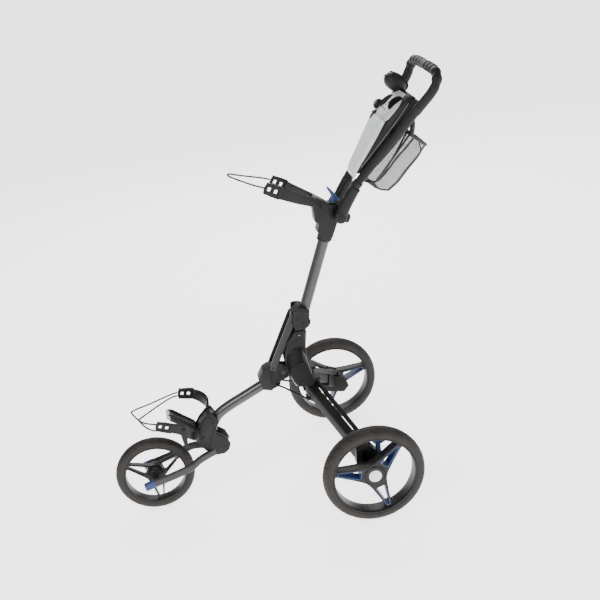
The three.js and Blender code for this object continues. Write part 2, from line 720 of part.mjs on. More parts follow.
const LOWER_CORD_A = [
  [90, -569, 326], [76, -593, 327], [60, -608, 327], [40, -622, 332], [10, -634, 336], [-8, -628, 333],
  [-50, -575, 323], [-80, -522, 321], [-91, -500, 319],
];
const LOWER_CORD_B = [
  [90, -575, 306], [76, -593, 310], [60, -606, 317], [30, -617, 318], [10, -612, 313], [-30, -572, 313],
  [-60, -545, 311], [-86, -516, 309], [-91, -501, 307],
];
const UPPER_CORD = [
  [85, -150, 948], [72, -178, 958], [40, -212, 970], [10, -232, 976], [-20, -230, 974], [-52, -196, 954],
  [-76, -140, 930], [-85, -116, 918],
];

function wheelPair(build) {
  build(1, "near");
  build(-1, "far");
}

rearWheel(1, "near", [45, 165, 285]);
rearWheel(-1, "far", [12, 132, 252]);
frontWheel();
fork();
frontTube();
lowerBracket();
frontSocket();
centreBody();
wheelPair(rearLeg);
wheelPair(hubBlock);
brakePedal();
mastCollar();
struts();
mastTube();
cradleHousing();
clamp();
upperArm(1, "near", [-147, 946]);
upperArm(-1, "far", [-112, 914]);
lowerArm(1, "near", NEAR_ROOT, [-566, 319], true);
lowerArm(-1, "far", FAR_ROOT, [-491, 314], false);
bagRest();
handleTubes();
wheelPair(handleSocket);
consoleBody();
scoreLid();
netBag();
cord("lower_cord_a", LOWER_CORD_A, 36);
cord("lower_cord_b", LOWER_CORD_B, 32);
cord("upper_cord", UPPER_CORD, 36);

trolley.position.y = FRAME_SHIFT_Y;

export default trolley;
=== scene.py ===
"""Looks of a folding golf push trolley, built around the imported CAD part."""

import math

import bmesh
import bpy
import numpy as np
from mathutils import Matrix, Vector


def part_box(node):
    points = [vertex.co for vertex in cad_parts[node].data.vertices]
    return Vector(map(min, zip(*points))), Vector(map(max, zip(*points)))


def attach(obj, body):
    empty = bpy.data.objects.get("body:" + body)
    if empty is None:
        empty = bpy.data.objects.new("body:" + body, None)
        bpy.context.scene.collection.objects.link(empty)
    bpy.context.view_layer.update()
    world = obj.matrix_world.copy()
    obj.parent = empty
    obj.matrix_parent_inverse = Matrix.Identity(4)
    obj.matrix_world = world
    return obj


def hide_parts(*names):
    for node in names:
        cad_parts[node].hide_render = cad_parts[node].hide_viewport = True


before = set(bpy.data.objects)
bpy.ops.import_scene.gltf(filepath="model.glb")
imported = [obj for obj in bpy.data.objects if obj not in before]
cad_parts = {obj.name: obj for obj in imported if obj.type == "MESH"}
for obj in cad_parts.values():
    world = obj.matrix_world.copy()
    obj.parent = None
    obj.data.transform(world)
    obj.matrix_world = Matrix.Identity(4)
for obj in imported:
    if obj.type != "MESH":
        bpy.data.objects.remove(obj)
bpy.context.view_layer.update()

# Points below are in mm, with the rear axle at y = 0, near side at +x and front at -y.
_lo, _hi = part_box("rear_tyre_near")
AXLE_Y = (_lo.y + _hi.y) / 2
REAR_X = (_lo.x + _hi.x) * 500
REAR_R = (_hi.z - _lo.z) * 500
_lo, _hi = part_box("front_tyre")
FRONT_Y = ((_lo.y + _hi.y) / 2 - AXLE_Y) * 1000
FRONT_R = (_hi.z - _lo.z) * 500
HANDLE_Y, HANDLE_Z = 0.679, 0.734  # the direction of the handle tubes
HANDLE_RISE = math.atan2(HANDLE_Z, HANDLE_Y)
X_AXIS = Vector((1, 0, 0))
SIDES = ((1, "near"), (-1, "far"))  # the sign of x and the name of each side


def P(x, y, z):
    """A point in mm, in the frame's metres."""
    return Vector((x / 1000, y / 1000 + AXLE_Y, z / 1000))


def H(x, s, n):
    """A point in mm from x, its distance along the handle tubes and its height above them."""
    c, k = math.cos(HANDLE_RISE), math.sin(HANDLE_RISE)
    return (x, 83 + s * c - n * k, 876 + s * k + n * c)


# ---- materials ----


def material(name, colour, rough, metal=0.0, **extra):
    """A plain material; extra sets other inputs, with _ for spaces."""
    m = bpy.data.materials.new(name)
    m.use_nodes = True
    b = m.node_tree.nodes["Principled BSDF"]
    b.inputs["Base Color"].default_value = (*colour, 1)
    b.inputs["Roughness"].default_value = rough
    b.inputs["Metallic"].default_value = metal
    for key, value in extra.items():
        b.inputs[key.replace("_", " ")].default_value = value
    return m


def shader_node(tree, kind, feed=None, **inputs):
    """A node with its inputs set and, from feed, one of them linked: (input, node, output)."""
    n = tree.nodes.new("ShaderNode" + kind)
    for key, value in inputs.items():
        n.inputs[key.replace("_", " ")].default_value = value
    if feed:
        tree.links.new(feed[1].outputs[feed[2]], n.inputs[feed[0]])
    return n


def colour_from(tree, source, first, second):
    """The base colour, going from first to second with the source's factor: (position, colour)."""
    ramp = shader_node(tree, "ValToRGB", ("Fac", source, "Fac"))
    for stop, (position, colour) in zip(ramp.color_ramp.elements, (first, second)):
        stop.position = position
        stop.color = (*colour, 1)
    tree.links.new(ramp.outputs["Color"], tree.nodes["Principled BSDF"].inputs["Base Color"])


def bump_from(tree, source, output, strength, depth):
    """A bump of the given depth in metres, from an output of the source."""
    bump = shader_node(tree, "Bump", ("Height", source, output), Strength=strength, Distance=depth)
    tree.links.new(bump.outputs["Normal"], tree.nodes["Principled BSDF"].inputs["Normal"])


def link_noise(m, colour, other, scale, rough, bump, stretch=(1, 1, 1)):
    """Varies colour and roughness with soft noise, and adds a fine bump."""
    t = m.node_tree
    co = shader_node(t, "TexCoord")
    mp = shader_node(t, "Mapping", ("Vector", co, "Object"), Scale=stretch)
    soft = shader_node(t, "TexNoise", ("Vector", mp, "Vector"), Scale=scale, Detail=6)
    colour_from(t, soft, (0.35, colour), (0.7, other))
    gloss = shader_node(t, "MapRange", ("Value", soft, "Fac"), To_Min=rough[0], To_Max=rough[1])
    t.links.new(gloss.outputs["Result"], t.nodes["Principled BSDF"].inputs["Roughness"])
    grain = shader_node(t, "TexNoise", ("Vector", mp, "Vector"), Scale=scale * 30, Detail=3)
    bump_from(t, grain, "Fac", bump, 0.0004)
    return m


def net_material():
    """An open knitted mesh: threads in two directions with holes between them."""
    m = material("net", (0.03, 0.028, 0.027), 0.75)
    t = m.node_tree
    uv = shader_node(t, "TexCoord")
    threads = shader_node(t, "Math")
    threads.operation = "MAXIMUM"
    for k, turn in enumerate((0.7, -0.7)):
        mp = shader_node(t, "Mapping", ("Vector", uv, "UV"), Rotation=(0, 0, turn), Scale=(52, 52, 52))
        wave = shader_node(t, "TexWave", ("Vector", mp, "Vector"), Scale=1.0, Distortion=0.6)
        t.links.new(wave.outputs["Fac"], threads.inputs[k])
    step = shader_node(t, "MapRange", ("Value", threads, "Value"), From_Min=0.55, From_Max=0.92,
                       To_Min=0.12, To_Max=0.9)
    t.links.new(step.outputs["Result"], t.nodes["Principled BSDF"].inputs["Alpha"])
    bump_from(t, threads, "Value", 0.4, 0.0003)
    return m


def braid_material():
    """Cord with slanting strands."""
    m = material("cord", (0.03, 0.027, 0.025), 0.75)
    t = m.node_tree
    co = shader_node(t, "TexCoord")
    strands = shader_node(t, "TexWave", ("Vector", co, "Object"), Scale=260, Distortion=2)
    strands.bands_direction = "DIAGONAL"
    colour_from(t, strands, (0, (0.018, 0.016, 0.015)), (1, (0.045, 0.039, 0.036)))
    bump_from(t, strands, "Fac", 0.5, 0.0004)
    return m


# Each with its darker and lighter colour, noise scale, range of roughness, bump and stretch.
M = {
    "black": link_noise(material("moulded_black", (0.012, 0.011, 0.011), 0.5, Specular_IOR_Level=0.2),
                        (0.006, 0.0056, 0.0055), (0.012, 0.011, 0.0105), 14, (0.4, 0.58), 0.25),
    "graphite": link_noise(material("graphite_anodised", (0.09, 0.088, 0.086), 0.35, 0.7),
                           (0.047, 0.0455, 0.044), (0.072, 0.07, 0.068), 9, (0.26, 0.36), 0.08,
                           (1, 1, 0.25)),
    "tyre": link_noise(material("tyre_rubber", (0.03, 0.025, 0.022), 0.8, Specular_IOR_Level=0.3),
                       (0.012, 0.0103, 0.0093), (0.024, 0.0195, 0.0165), 22, (0.55, 0.8), 0.3),
    "rim": link_noise(material("rim_plastic", (0.018, 0.0165, 0.0155), 0.5, Specular_IOR_Level=0.25),
                      (0.007, 0.0066, 0.0062), (0.013, 0.0118, 0.011), 16, (0.36, 0.52), 0.2),
    "blue": link_noise(material("blue_plastic", (0.02, 0.07, 0.2), 0.45, Specular_IOR_Level=0.4),
                       (0.008, 0.023, 0.09), (0.013, 0.036, 0.125), 18, (0.35, 0.5), 0.2),
    "steel": link_noise(material("steel", (0.4, 0.4, 0.4), 0.35, 1.0),
                        (0.32, 0.32, 0.32), (0.45, 0.45, 0.45), 30, (0.25, 0.4), 0.1),
    "silver": link_noise(material("cap_silver", (0.72, 0.74, 0.76), 0.35, 0.2),
                         (0.66, 0.68, 0.7), (0.78, 0.8, 0.82), 20, (0.25, 0.4), 0.05),
    "frosted": link_noise(material("frosted_lid", (0.8, 0.82, 0.84), 0.45, 0.0, Transmission_Weight=0.35),
                          (0.66, 0.69, 0.72), (0.84, 0.86, 0.88), 10, (0.38, 0.55), 0.1),
    "light": link_noise(material("light_grey_plastic", (0.33, 0.34, 0.35), 0.45),
                        (0.34, 0.35, 0.36), (0.46, 0.47, 0.48), 15, (0.35, 0.5), 0.15),
    # Painted highlight: a light grey for the thin bright line drawn along each side of the console.
    "painted_line": link_noise(material("painted_highlight_grey", (0.1, 0.1, 0.1), 0.45),
                       (0.08, 0.08, 0.08), (0.12, 0.12, 0.12), 15, (0.35, 0.5), 0.15),
    "fork": link_noise(material("fork_grey", (0.03, 0.029, 0.028), 0.42, 0.3),
                       (0.016, 0.0155, 0.015), (0.028, 0.027, 0.026), 9, (0.36, 0.48), 0.1),
    "tube_black": link_noise(material("tube_black", (0.014, 0.0135, 0.013), 0.5, Specular_IOR_Level=0.14),
                             (0.008, 0.0075, 0.0072), (0.014, 0.013, 0.0125), 9, (0.44, 0.58), 0.08,
                             (1, 1, 0.25)),
    "grip": link_noise(material("grip_rubber", (0.018, 0.017, 0.0165), 0.6, Specular_IOR_Level=0.2),
                       (0.004, 0.0038, 0.0036), (0.009, 0.0084, 0.008), 18, (0.45, 0.65), 0.5),
    "deep": link_noise(material("deep_black", (0.006, 0.0056, 0.0055), 0.5, Specular_IOR_Level=0.16),
                       (0.0035, 0.0033, 0.0032), (0.0065, 0.006, 0.0058), 14, (0.42, 0.6), 0.2),
    "strut": link_noise(material("strut_graphite", (0.03, 0.029, 0.028), 0.36, 0.5),
                        (0.015, 0.0145, 0.014), (0.025, 0.024, 0.023), 9, (0.3, 0.42), 0.08, (1, 1, 0.25)),
    # Painted shade: a near-black finish that stands for the shade inside holes and hollows.
    "hole": link_noise(material("painted_hole_shade", (0.003, 0.003, 0.003), 0.8, Specular_IOR_Level=0.1),
                       (0.0025, 0.0025, 0.0025), (0.006, 0.006, 0.006), 18, (0.7, 0.9), 0.2),
    "net": net_material(),
    "cord": braid_material(),
}


# ---- mesh helpers ----


def placed(name, data):
    """A new object in the scene."""
    obj = bpy.data.objects.new(name, data)
    bpy.context.scene.collection.objects.link(obj)
    return obj


def piece(name, mesh, mat, body, replaces=None, smooth=0.6):
    """A piece that rides a body and, where replaces names one, stands for a CAD node."""
    obj = placed(name, mesh)
    mesh.materials.clear()
    mesh.materials.append(M[mat])
    mesh.polygons.foreach_set("use_smooth", [True] * len(mesh.polygons))
    mesh.set_sharp_from_angle(angle=smooth)
    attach(obj, body)
    if replaces:
        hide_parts(replaces)
    return obj


def cleaned(mesh, merge=1e-6):
    """The mesh with meeting points merged and its faces turned outwards."""
    bm = bmesh.new()
    bm.from_mesh(mesh)
    bmesh.ops.remove_doubles(bm, verts=bm.verts, dist=merge)
    bmesh.ops.recalc_face_normals(bm, faces=bm.faces)
    bm.to_mesh(mesh)
    bm.free()
    return mesh


def mesh_of(verts, faces, merge=1e-6):
    """A clean mesh from points in metres and faces."""
    mesh = bpy.data.meshes.new("m")
    mesh.from_pydata([tuple(v) for v in verts], [], faces)
    return cleaned(mesh, merge)


def joined(meshes):
    """One mesh of all the given ones."""
    bm = bmesh.new()
    for mesh in meshes:
        bm.from_mesh(mesh)
    out = bpy.data.meshes.new("m")
    bm.to_mesh(out)
    bm.free()
    return out


def loft(rings, closed=False):
    """Rings joined in turn, with end caps or, if closed, with the last joined to the first."""
    count = len(rings[0])
    verts = [v for ring in rings for v in ring]
    faces = []
    total = len(rings)
    for r in range(total if closed else total - 1):
        a, b = r * count, ((r + 1) % total) * count
        for i in range(count):
            j = (i + 1) % count
            faces.append((a + i, a + j, b + j, b + i))
    if not closed:
        faces.append(tuple(range(count)))
        faces.append(tuple(reversed(range((total - 1) * count, total * count))))
    return mesh_of(verts, faces)


def revolve_x(profile, centre, n, wobble=None):
    """A closed profile of (radius, x) in mm turned about the X axis through centre."""
    cx, cy, cz = centre
    rings = []
    for i in range(n):
        a = 2 * math.pi * i / n
        ring = []
        for r, h in profile:
            k = r + (wobble(a, h, r) if wobble else 0)
            ring.append(P(cx + h, cy + k * math.cos(a), cz + k * math.sin(a)))
        rings.append(ring)
    return loft(rings, closed=True)


def disc_x(profile, centre):
    """An open profile of (radius, x) turned about the X axis through centre."""
    n = 64
    cx, cy, cz = centre
    verts, faces = [], []
    for r, h in profile:
        for i in range(n):
            a = 2 * math.pi * i / n
            verts.append(P(cx + h, cy + r * math.cos(a), cz + r * math.sin(a)))
    for k in range(len(profile) - 1):
        for i in range(n):
            j = (i + 1) % n
            faces.append((k * n + i, k * n + j, (k + 1) * n + j, (k + 1) * n + i))
    return mesh_of(verts, faces, 1e-7)


def curve_points(points, steps):
    """A Catmull-Rom curve through the points, evenly spaced."""
    pts = [np.array(p, float) for p in points]
    ext = [2 * pts[0] - pts[1], *pts, 2 * pts[-1] - pts[-2]]
    out = []
    for i in range(1, len(ext) - 2):
        p0, p1, p2, p3 = ext[i - 1:i + 3]
        for t in np.linspace(0, 1, 24, endpoint=False):
            out.append(0.5 * ((2 * p1) + (p2 - p0) * t + (2 * p0 - 5 * p1 + 4 * p2 - p3) * t * t
                              + (3 * p1 - p0 - 3 * p2 + p3) * t ** 3))
    out.append(pts[-1])
    out = np.array(out)
    d = np.concatenate([[0], np.cumsum(np.linalg.norm(np.diff(out, axis=0), axis=1))])
    s = np.linspace(0, d[-1], steps + 1)
    return [tuple(np.interp(v, d, out[:, k]) for k in range(3)) for v in s]


def round_section(r, n):
    """A circle of n points."""
    turns = [2 * math.pi * (i + 0.5) / n for i in range(n)]
    return [(r * math.cos(a), r * math.sin(a)) for a in turns]


def soft_rect(w, h, c, n=5):
    """A rectangle with corners of radius c."""
    out = []
    for cx, cy, a0 in ((w / 2 - c, h / 2 - c, 0), (-w / 2 + c, h / 2 - c, 90),
                       (-w / 2 + c, -h / 2 + c, 180), (w / 2 - c, -h / 2 + c, 270)):
        for i in range(n + 1):
            a = math.radians(a0 + 90 * i / n)
            out.append((cx + c * math.cos(a), cy + c * math.sin(a)))
    return out


def sweep(points, section, up=(0, 0, 1), scale=None, ends=0.0):
    """A bar with a section of (side, up) points along a path in mm, its ends drawn in by ends mm.

    scale gives how wide and how tall the section is at a share of the way along."""
    pts = [Vector(p) for p in points]
    up = Vector(up)
    rings = []
    last = len(pts) - 1
    for i, p in enumerate(pts):
        t = (pts[min(i + 1, last)] - pts[max(i - 1, 0)]).normalized()
        side = t.cross(up).normalized()
        over = side.cross(t)
        wide, tall = scale(i / last) if scale else (1, 1)
        rings.append([P(*(p + side * (s * wide) + over * (u * tall))) for s, u in section])
    if ends:
        def shrunk(ring, k, shift):
            c = sum(ring, Vector()) / len(ring)
            return [c + (v - c) * k + shift for v in ring]
        a = (P(*pts[0]) - P(*pts[1])).normalized() * ends / 1000
        b = (P(*pts[-1]) - P(*pts[-2])).normalized() * ends / 1000
        rings = [shrunk(rings[0], 0.72, a), shrunk(rings[0], 0.92, a * 0.7), *rings,
                 shrunk(rings[-1], 0.92, b * 0.7), shrunk(rings[-1], 0.72, b)]
    return loft(rings)


def rounded(points, r, n=4):
    """A polygon with each corner rounded by up to r."""
    out = []
    m = len(points)
    for i in range(m):
        p, a, b = (np.array(points[k], float) for k in (i, (i - 1) % m, (i + 1) % m))
        da, db = a - p, b - p
        la, lb = np.linalg.norm(da), np.linalg.norm(db)
        k = min(r, 0.45 * la, 0.45 * lb)
        s, e = p + da / la * k, p + db / lb * k
        for j in range(n + 1):
            t = j / n
            out.append(tuple((1 - t) ** 2 * s + 2 * t * (1 - t) * p + t * t * e))
    return out


def taken(ob):
    """The mesh of an object with its modifiers applied; the object goes."""
    bpy.context.view_layer.update()
    mesh = bpy.data.meshes.new_from_object(ob.evaluated_get(bpy.context.evaluated_depsgraph_get()))
    bpy.data.objects.remove(ob)
    return mesh


def plate(outline, x0, x1, bevel=1.2, holes=(), r=4):
    """A side-view outline of (y, z) points in mm, from x0 to x1, with soft edges and through holes."""
    cu = bpy.data.curves.new("c", "CURVE")
    cu.dimensions = "2D"
    cu.fill_mode = "BOTH"
    half = (x1 - x0) / 2
    cu.extrude = (half - bevel) / 1000
    cu.bevel_depth = bevel / 1000
    cu.bevel_resolution = 2
    cu.offset = -bevel / 1000
    for loop in (rounded(outline, r) if r else outline, *holes):
        sp = cu.splines.new("POLY")
        sp.points.add(len(loop) - 1)
        for q, (y, z) in zip(sp.points, loop):
            q.co = (y / 1000, z / 1000, 0, 1)
        sp.use_cyclic_u = True
    mesh = taken(placed("c", cu))
    bpy.data.curves.remove(cu)
    turn = Matrix(((0, 0, 1, (x0 + x1) / 2000), (1, 0, 0, AXLE_Y), (0, 1, 0, 0), (0, 0, 0, 1)))
    mesh.transform(turn)
    return cleaned(mesh)


def rod(a, b, r, n=32, lip=0.8):
    """A round bar with softened ends."""
    a, b = Vector(a), Vector(b)
    d = (b - a).normalized()
    side = d.orthogonal().normalized()
    over = d.cross(side)
    length = (b - a).length
    rings = []
    for t, k in ((0, r - lip), (lip, r), (length - lip, r), (length, r - lip)):
        c = a + d * t
        rings.append([P(*(c + (side * math.cos(q) + over * math.sin(q)) * k))
                      for q in (2 * math.pi * i / n for i in range(n))])
    return loft(rings)


def soft_copy(node, mat, body, width):
    """The CAD node's shape with rounded edges and moulded skin, standing for it."""
    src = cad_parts[node].data
    bm = bmesh.new()
    bm.from_mesh(src)
    bmesh.ops.remove_doubles(bm, verts=bm.verts, dist=2e-5)
    bmesh.ops.dissolve_limit(bm, angle_limit=0.03, verts=bm.verts, edges=bm.edges)
    mesh = bpy.data.meshes.new(node + "_look")
    bm.to_mesh(mesh)
    bm.free()
    ob = placed("tmp", mesh)
    mod = ob.modifiers.new("b", "BEVEL")
    mod.width = width / 1000
    mod.segments = 3
    mod.limit_method = "ANGLE"
    mod.angle_limit = 0.5
    mod.use_clamp_overlap = True
    return piece(node + "_look", taken(ob), mat, body, node)


def across(s, low, high):
    """The span of x from low to high on side s, in rising order."""
    return sorted((s * low, s * high))


def part_way(a, b, shares):
    """Points at the given shares of the way from a to b."""
    a, b = np.array(a), np.array(b)
    return [tuple(a + (b - a) * t) for t in shares]


# ---- wheels ----

TREAD_COUNT = 26  # sipes of each kind round a tyre


def tyre_profile(R, seat, width):
    """A full, rounded tyre on a rim of radius seat."""
    w = width / 2
    out = []
    for i in range(29):
        a = math.pi * (i / 28 - 0.5)
        h = w * math.sin(a)
        k = max(math.cos(a), 0) ** 0.62
        out.append((seat + 5 + (R - seat - 5) * k, h))
    out += [(seat + 3.4, w * 0.985), (seat + 1.6, w * 0.93), (seat + 0.6, w * 0.84), (seat + 0.6, 0),
            (seat + 0.6, -w * 0.84), (seat + 1.6, -w * 0.93), (seat + 3.4, -w * 0.985)]
    return out


def tread(seat, width, count):
    """How far the skin moves for the leaf-shaped sipes and the ring line above the bead."""
    w = width / 2

    def depth(a, h, r):
        u = abs(h) / w
        cut = 0.0
        if 0.12 < u < 0.9 and r > seat + 8:
            for k, reach in ((0.0, 0.9), (0.5, 0.62)):
                lean = 0.42 * u + 0.12 * math.sin(3.0 * u)
                t = (a * count / (2 * math.pi) + k + lean * count / 9 + (0.25 if h > 0 else 0)) % 1.0
                half = 0.055 * math.sin(math.pi * min((u - 0.12) / (reach - 0.12), 1.0)) if u < reach else 0
                if half > 0 and abs(t - 0.5) < half * 2.2:
                    cut = max(cut, 2.6 * (1 - (abs(t - 0.5) / (half * 2.2)) ** 2))
        ring = math.exp(-((r - (seat + 10)) / 0.9) ** 2) * (1.0 if u > 0.7 else 0)
        return -cut - 1.4 * ring

    return depth


def polar(centre, r, degrees, off=0.0):
    """The (y, z) at r from the centre, moved off mm sideways."""
    a = math.radians(degrees)
    return (centre[1] + r * math.cos(a) - off * math.sin(a),
            centre[2] + r * math.sin(a) + off * math.cos(a))


def star_outline(centre, angles, seat, hub, wide, narrow):
    """Three arms with smooth concave sides between them."""
    loop = []
    for i, a in enumerate(angles):
        nxt = angles[(i + 1) % 3]
        mid = a + 60
        right = [polar(centre, seat - 2, a, narrow + 6), polar(centre, seat - 9, a, narrow + 0.5),
                 polar(centre, seat * 0.72, a, narrow + (wide - narrow) * 0.38),
                 polar(centre, seat * 0.48, a, narrow + (wide - narrow) * 0.85),
                 polar(centre, hub + 6, mid),
                 polar(centre, seat * 0.48, nxt, -narrow - (wide - narrow) * 0.85),
                 polar(centre, seat * 0.72, nxt, -narrow - (wide - narrow) * 0.38),
                 polar(centre, seat - 9, nxt, -narrow - 0.5), polar(centre, seat - 2, nxt, -narrow - 6)]
        smooth = curve_points([(0, y, z) for y, z in right], 46)
        loop += [(y, z) for _, y, z in smooth]
    return loop


def window_loop(centre, a, r0, r1, w0, w1, grow=0.0):
    """The outline of the window in the arm at angle a, from r0 to r1."""
    pts = [polar(centre, r0 - grow, a, -w0 - grow), polar(centre, r1 + grow, a, -w1 - grow),
           polar(centre, r1 + grow, a, w1 + grow), polar(centre, r0 - grow, a, w0 + grow)]
    return rounded(pts, 4.5 + grow, 5)


def liner_mesh(outer, inner, x0, x1):
    """A band round a window, open through its middle."""
    edges = ((outer, x0), (outer, x1), (inner, x1), (inner, x0))
    return loft([[P(x, y, z) for y, z in loop] for loop, x in edges], closed=True)


def build_wheel(tag, body, centre, R, seat, width, angles, hub, wide, narrow, half, nodes, liners, gap):
    """Tyre and three-armed rim.

    seat is the bead's radius and hub the boss's; wide and narrow are half an arm's width at its two
    ends, half is half its thickness, and gap is what its window leaves at the two ends and sides."""
    tyre = revolve_x(tyre_profile(R, seat, width), centre, 288, tread(seat, width, TREAD_COUNT))
    piece(tag + "_tyre", tyre, "tyre", body, nodes[0], smooth=1.2)
    w = width / 2
    x0 = centre[0]
    rim = [revolve_x([(seat + 0.2, -0.8 * w), (seat + 1.5, -0.9 * w), (seat + 1.2, -0.97 * w),
                      (seat - 2.2, -0.97 * w), (seat - 3.5, -0.9 * w), (seat - 4.2, -0.6 * w),
                      (seat - 5, 0), (seat - 4.2, 0.6 * w), (seat - 3.5, 0.9 * w), (seat - 2.2, 0.97 * w),
                      (seat + 1.2, 0.97 * w), (seat + 1.5, 0.9 * w), (seat + 0.2, 0.8 * w)], centre, 144)]
    r0, r1 = hub + gap[0], seat - gap[1]
    w0, w1 = wide - gap[2], narrow - gap[3]
    windows = [window_loop(centre, a, r0, r1, w0, w1) for a in angles]
    rim.append(plate(star_outline(centre, angles, seat, hub, wide, narrow), x0 - half, x0 + half, 1.6,
                     windows, 0))
    for s in (1, -1):
        rim.append(disc_x([(0, s * (half + 1.5)), (hub * 0.62, s * (half + 1.5)),
                           (hub * 0.68, s * (half + 3.4)), (hub * 0.92, s * (half + 3.4)),
                           (hub, s * (half + 1.2)), (hub + 1.5, s * (half - 1))], centre))
    piece(tag + "_rim", joined(rim), "rim", body, nodes[1])
    if liners:
        loops = []
        for a in angles:
            outer = window_loop(centre, a, r0, r1, w0, w1, 0.9)
            inner = window_loop(centre, a, r0, r1, w0, w1, -1.5)
            loops.append(liner_mesh(outer, inner, x0 - half - 0.9, x0 + half + 0.9))
        piece(tag + "_liners", joined(loops), "blue", body)


for side, q, angles in ((1, "near", (45, 165, 285)), (-1, "far", (12, 132, 252))):
    c = (side * REAR_X, 0, REAR_R)
    build_wheel("rear_" + q, "wheel_" + q, c, REAR_R, seat=117.5, width=46, angles=angles, hub=29, wide=20.5,
                narrow=8.5, half=15, nodes=("rear_tyre_" + q, "rear_rim_" + q), liners=True,
                gap=(10, 10, 6.2, 4.0))
    cap = disc_x([(0, side * 20.8), (9, side * 20.6), (15, side * 20.2), (17.6, side * 19.4),
                  (18.2, side * 18.4), (18.2, side * 13)], c)
    piece("hub_disc_" + q, cap, "silver", "wheel_" + q, "hub_cap_" + q)
    collar = disc_x([(0, -side * 15), (16, -side * 15), (17, -side * 17), (17, -side * 24),
                     (14, -side * 25.5), (0, -side * 25.5)], c)
    piece("hub_boss_" + q, collar, "black", "wheel_" + q)

c = (0, FRONT_Y, FRONT_R)
build_wheel("front", "front_wheel", c, FRONT_R, seat=92, width=35, angles=(31, 151, 271), hub=24, wide=19,
            narrow=8.5, half=9, nodes=("front_tyre", "front_rim"), liners=False, gap=(4, 6, 4.6, 4.4))
hub_rings = []
for s in (1, -1):
    hub_rings.append(disc_x([(0, s * 31), (9, s * 31), (11, s * 28), (20, s * 28), (24, s * 25),
                             (26.5, s * 20), (26.5, s * 14), (25, s * 12), (25, s * 9), (18, s * 8)], c))
piece("front_hub_shell", joined(hub_rings), "black", "front_wheel")

# ---- front frame ----


def fork_route(s):
    """One side of the fork, from the wheel's axle back to the bracket."""
    return [(s * 60, -628, 114), (s * 60, -560, 128), (s * 60, -505, 142), (s * 54, -486, 149),
            (s * 44, -468, 154), (s * 32, -446, 156), (s * 20, -420, 159), (s * 12, -400, 166)]


fork = [sweep(curve_points(fork_route(s), 48), soft_rect(14, 22, 4.5)) for s in (1, -1)]
piece("fork_look", joined(fork), "fork", "front_frame", "fork_bar")
for s, q in SIDES:
    cap = [sweep([(s * 60, -641, 111), (s * 60, -636, 112), (s * 60, -620, 115.8), (s * 60, -612, 117.6)],
                 soft_rect(15, 24, 5), ends=1.5)]
    cap.append(rod((s * 53, -626, 116), (s * 68, -626, 116), 8))
    piece("fork_end_" + q, joined(cap), "blue", "front_frame", "fork_cap_" + q)
    nut = rod((s * 27, FRONT_Y, FRONT_R), (s * 53, FRONT_Y, FRONT_R), 8.5, 24)
    piece("axle_nut_" + q, nut, "black", "front_frame", smooth=0.4)

tube_route = [(0, -232, 338), (0, -306, 307), (0, -352, 288), (0, -388, 268), (0, -408, 244),
              (0, -416, 224)]
piece("front_tube_look", sweep(curve_points(tube_route, 60), round_section(15.5, 36)), "graphite",
      "front_frame", "front_tube", smooth=0.8)

bracket = [(-408, 290), (-397, 267), (-392, 254), (-403, 237), (-409, 223), (-395, 212), (-380, 199),
           (-371, 174), (-378, 156), (-394, 145), (-425, 146), (-446, 167), (-469, 202), (-466, 238),
           (-448, 263), (-424, 285)]
core = [(-410, 286), (-399, 266), (-396, 254), (-406, 236), (-413, 222), (-416, 200), (-400, 176),
        (-400, 152), (-424, 150), (-444, 170), (-465, 203), (-462, 237), (-446, 260), (-424, 281)]
front_web = [(-402, 240), (-409, 219), (-393, 207), (-383, 196), (-376, 174), (-382, 159), (-396, 150),
             (-422, 151), (-440, 168), (-424, 206), (-410, 236)]
back_web = [(-418, 276), (-407, 262), (-416, 236), (-430, 212), (-444, 196), (-461, 206), (-459, 234),
            (-443, 258), (-426, 277)]
pieces = [plate(core, -19, 19, 2, r=4)]
for s in (1, -1):
    pieces.append(plate(bracket, *across(s, 18.4, 25.4), 1.8, r=3))
    for web in (front_web, back_web):
        pieces.append(plate(web, *across(s, 24.8, 26.8), 0.8, r=2))
    for y, z in ((-388, 168), (-416, 160), (-446, 214), (-412, 254)):
        pieces.append(rod((s * 26, y, z), (s * 28.2, y, z), 3, 20, 0.4))
piece("bracket_look", joined(pieces), "black", "front_frame", "lower_bracket")

# ---- centre ----

soft_copy("front_socket", "black", "front_frame", 2.0)
soft_copy("body_core", "deep", "center", 1.2)
hood_root = [(-150, 318), (-163, 352), (-168, 392), (-160, 424), (-140, 444), (-116, 444), (-106, 412),
             (-101, 372), (-92, 322)]
hood_face = [(-146, 334), (-155, 350), (-164, 378), (-158, 398), (-142, 408), (-120, 408), (-108, 394),
             (-103, 372), (-96, 336)]


def hood_ring(s, t):
    """An open band round the leg's root, two skins thick, at t of its way out."""
    line = [((1 - t) * a + t * c, (1 - t) * b + t * d) for (a, b), (c, d) in zip(hood_root, hood_face)]
    skin = [(y + (-130 - y) * 0.07, z + (360 - z) * 0.07) for y, z in reversed(line)]
    return [P(s * (28.2 + 30.3 * t), y, z) for y, z in line + skin]


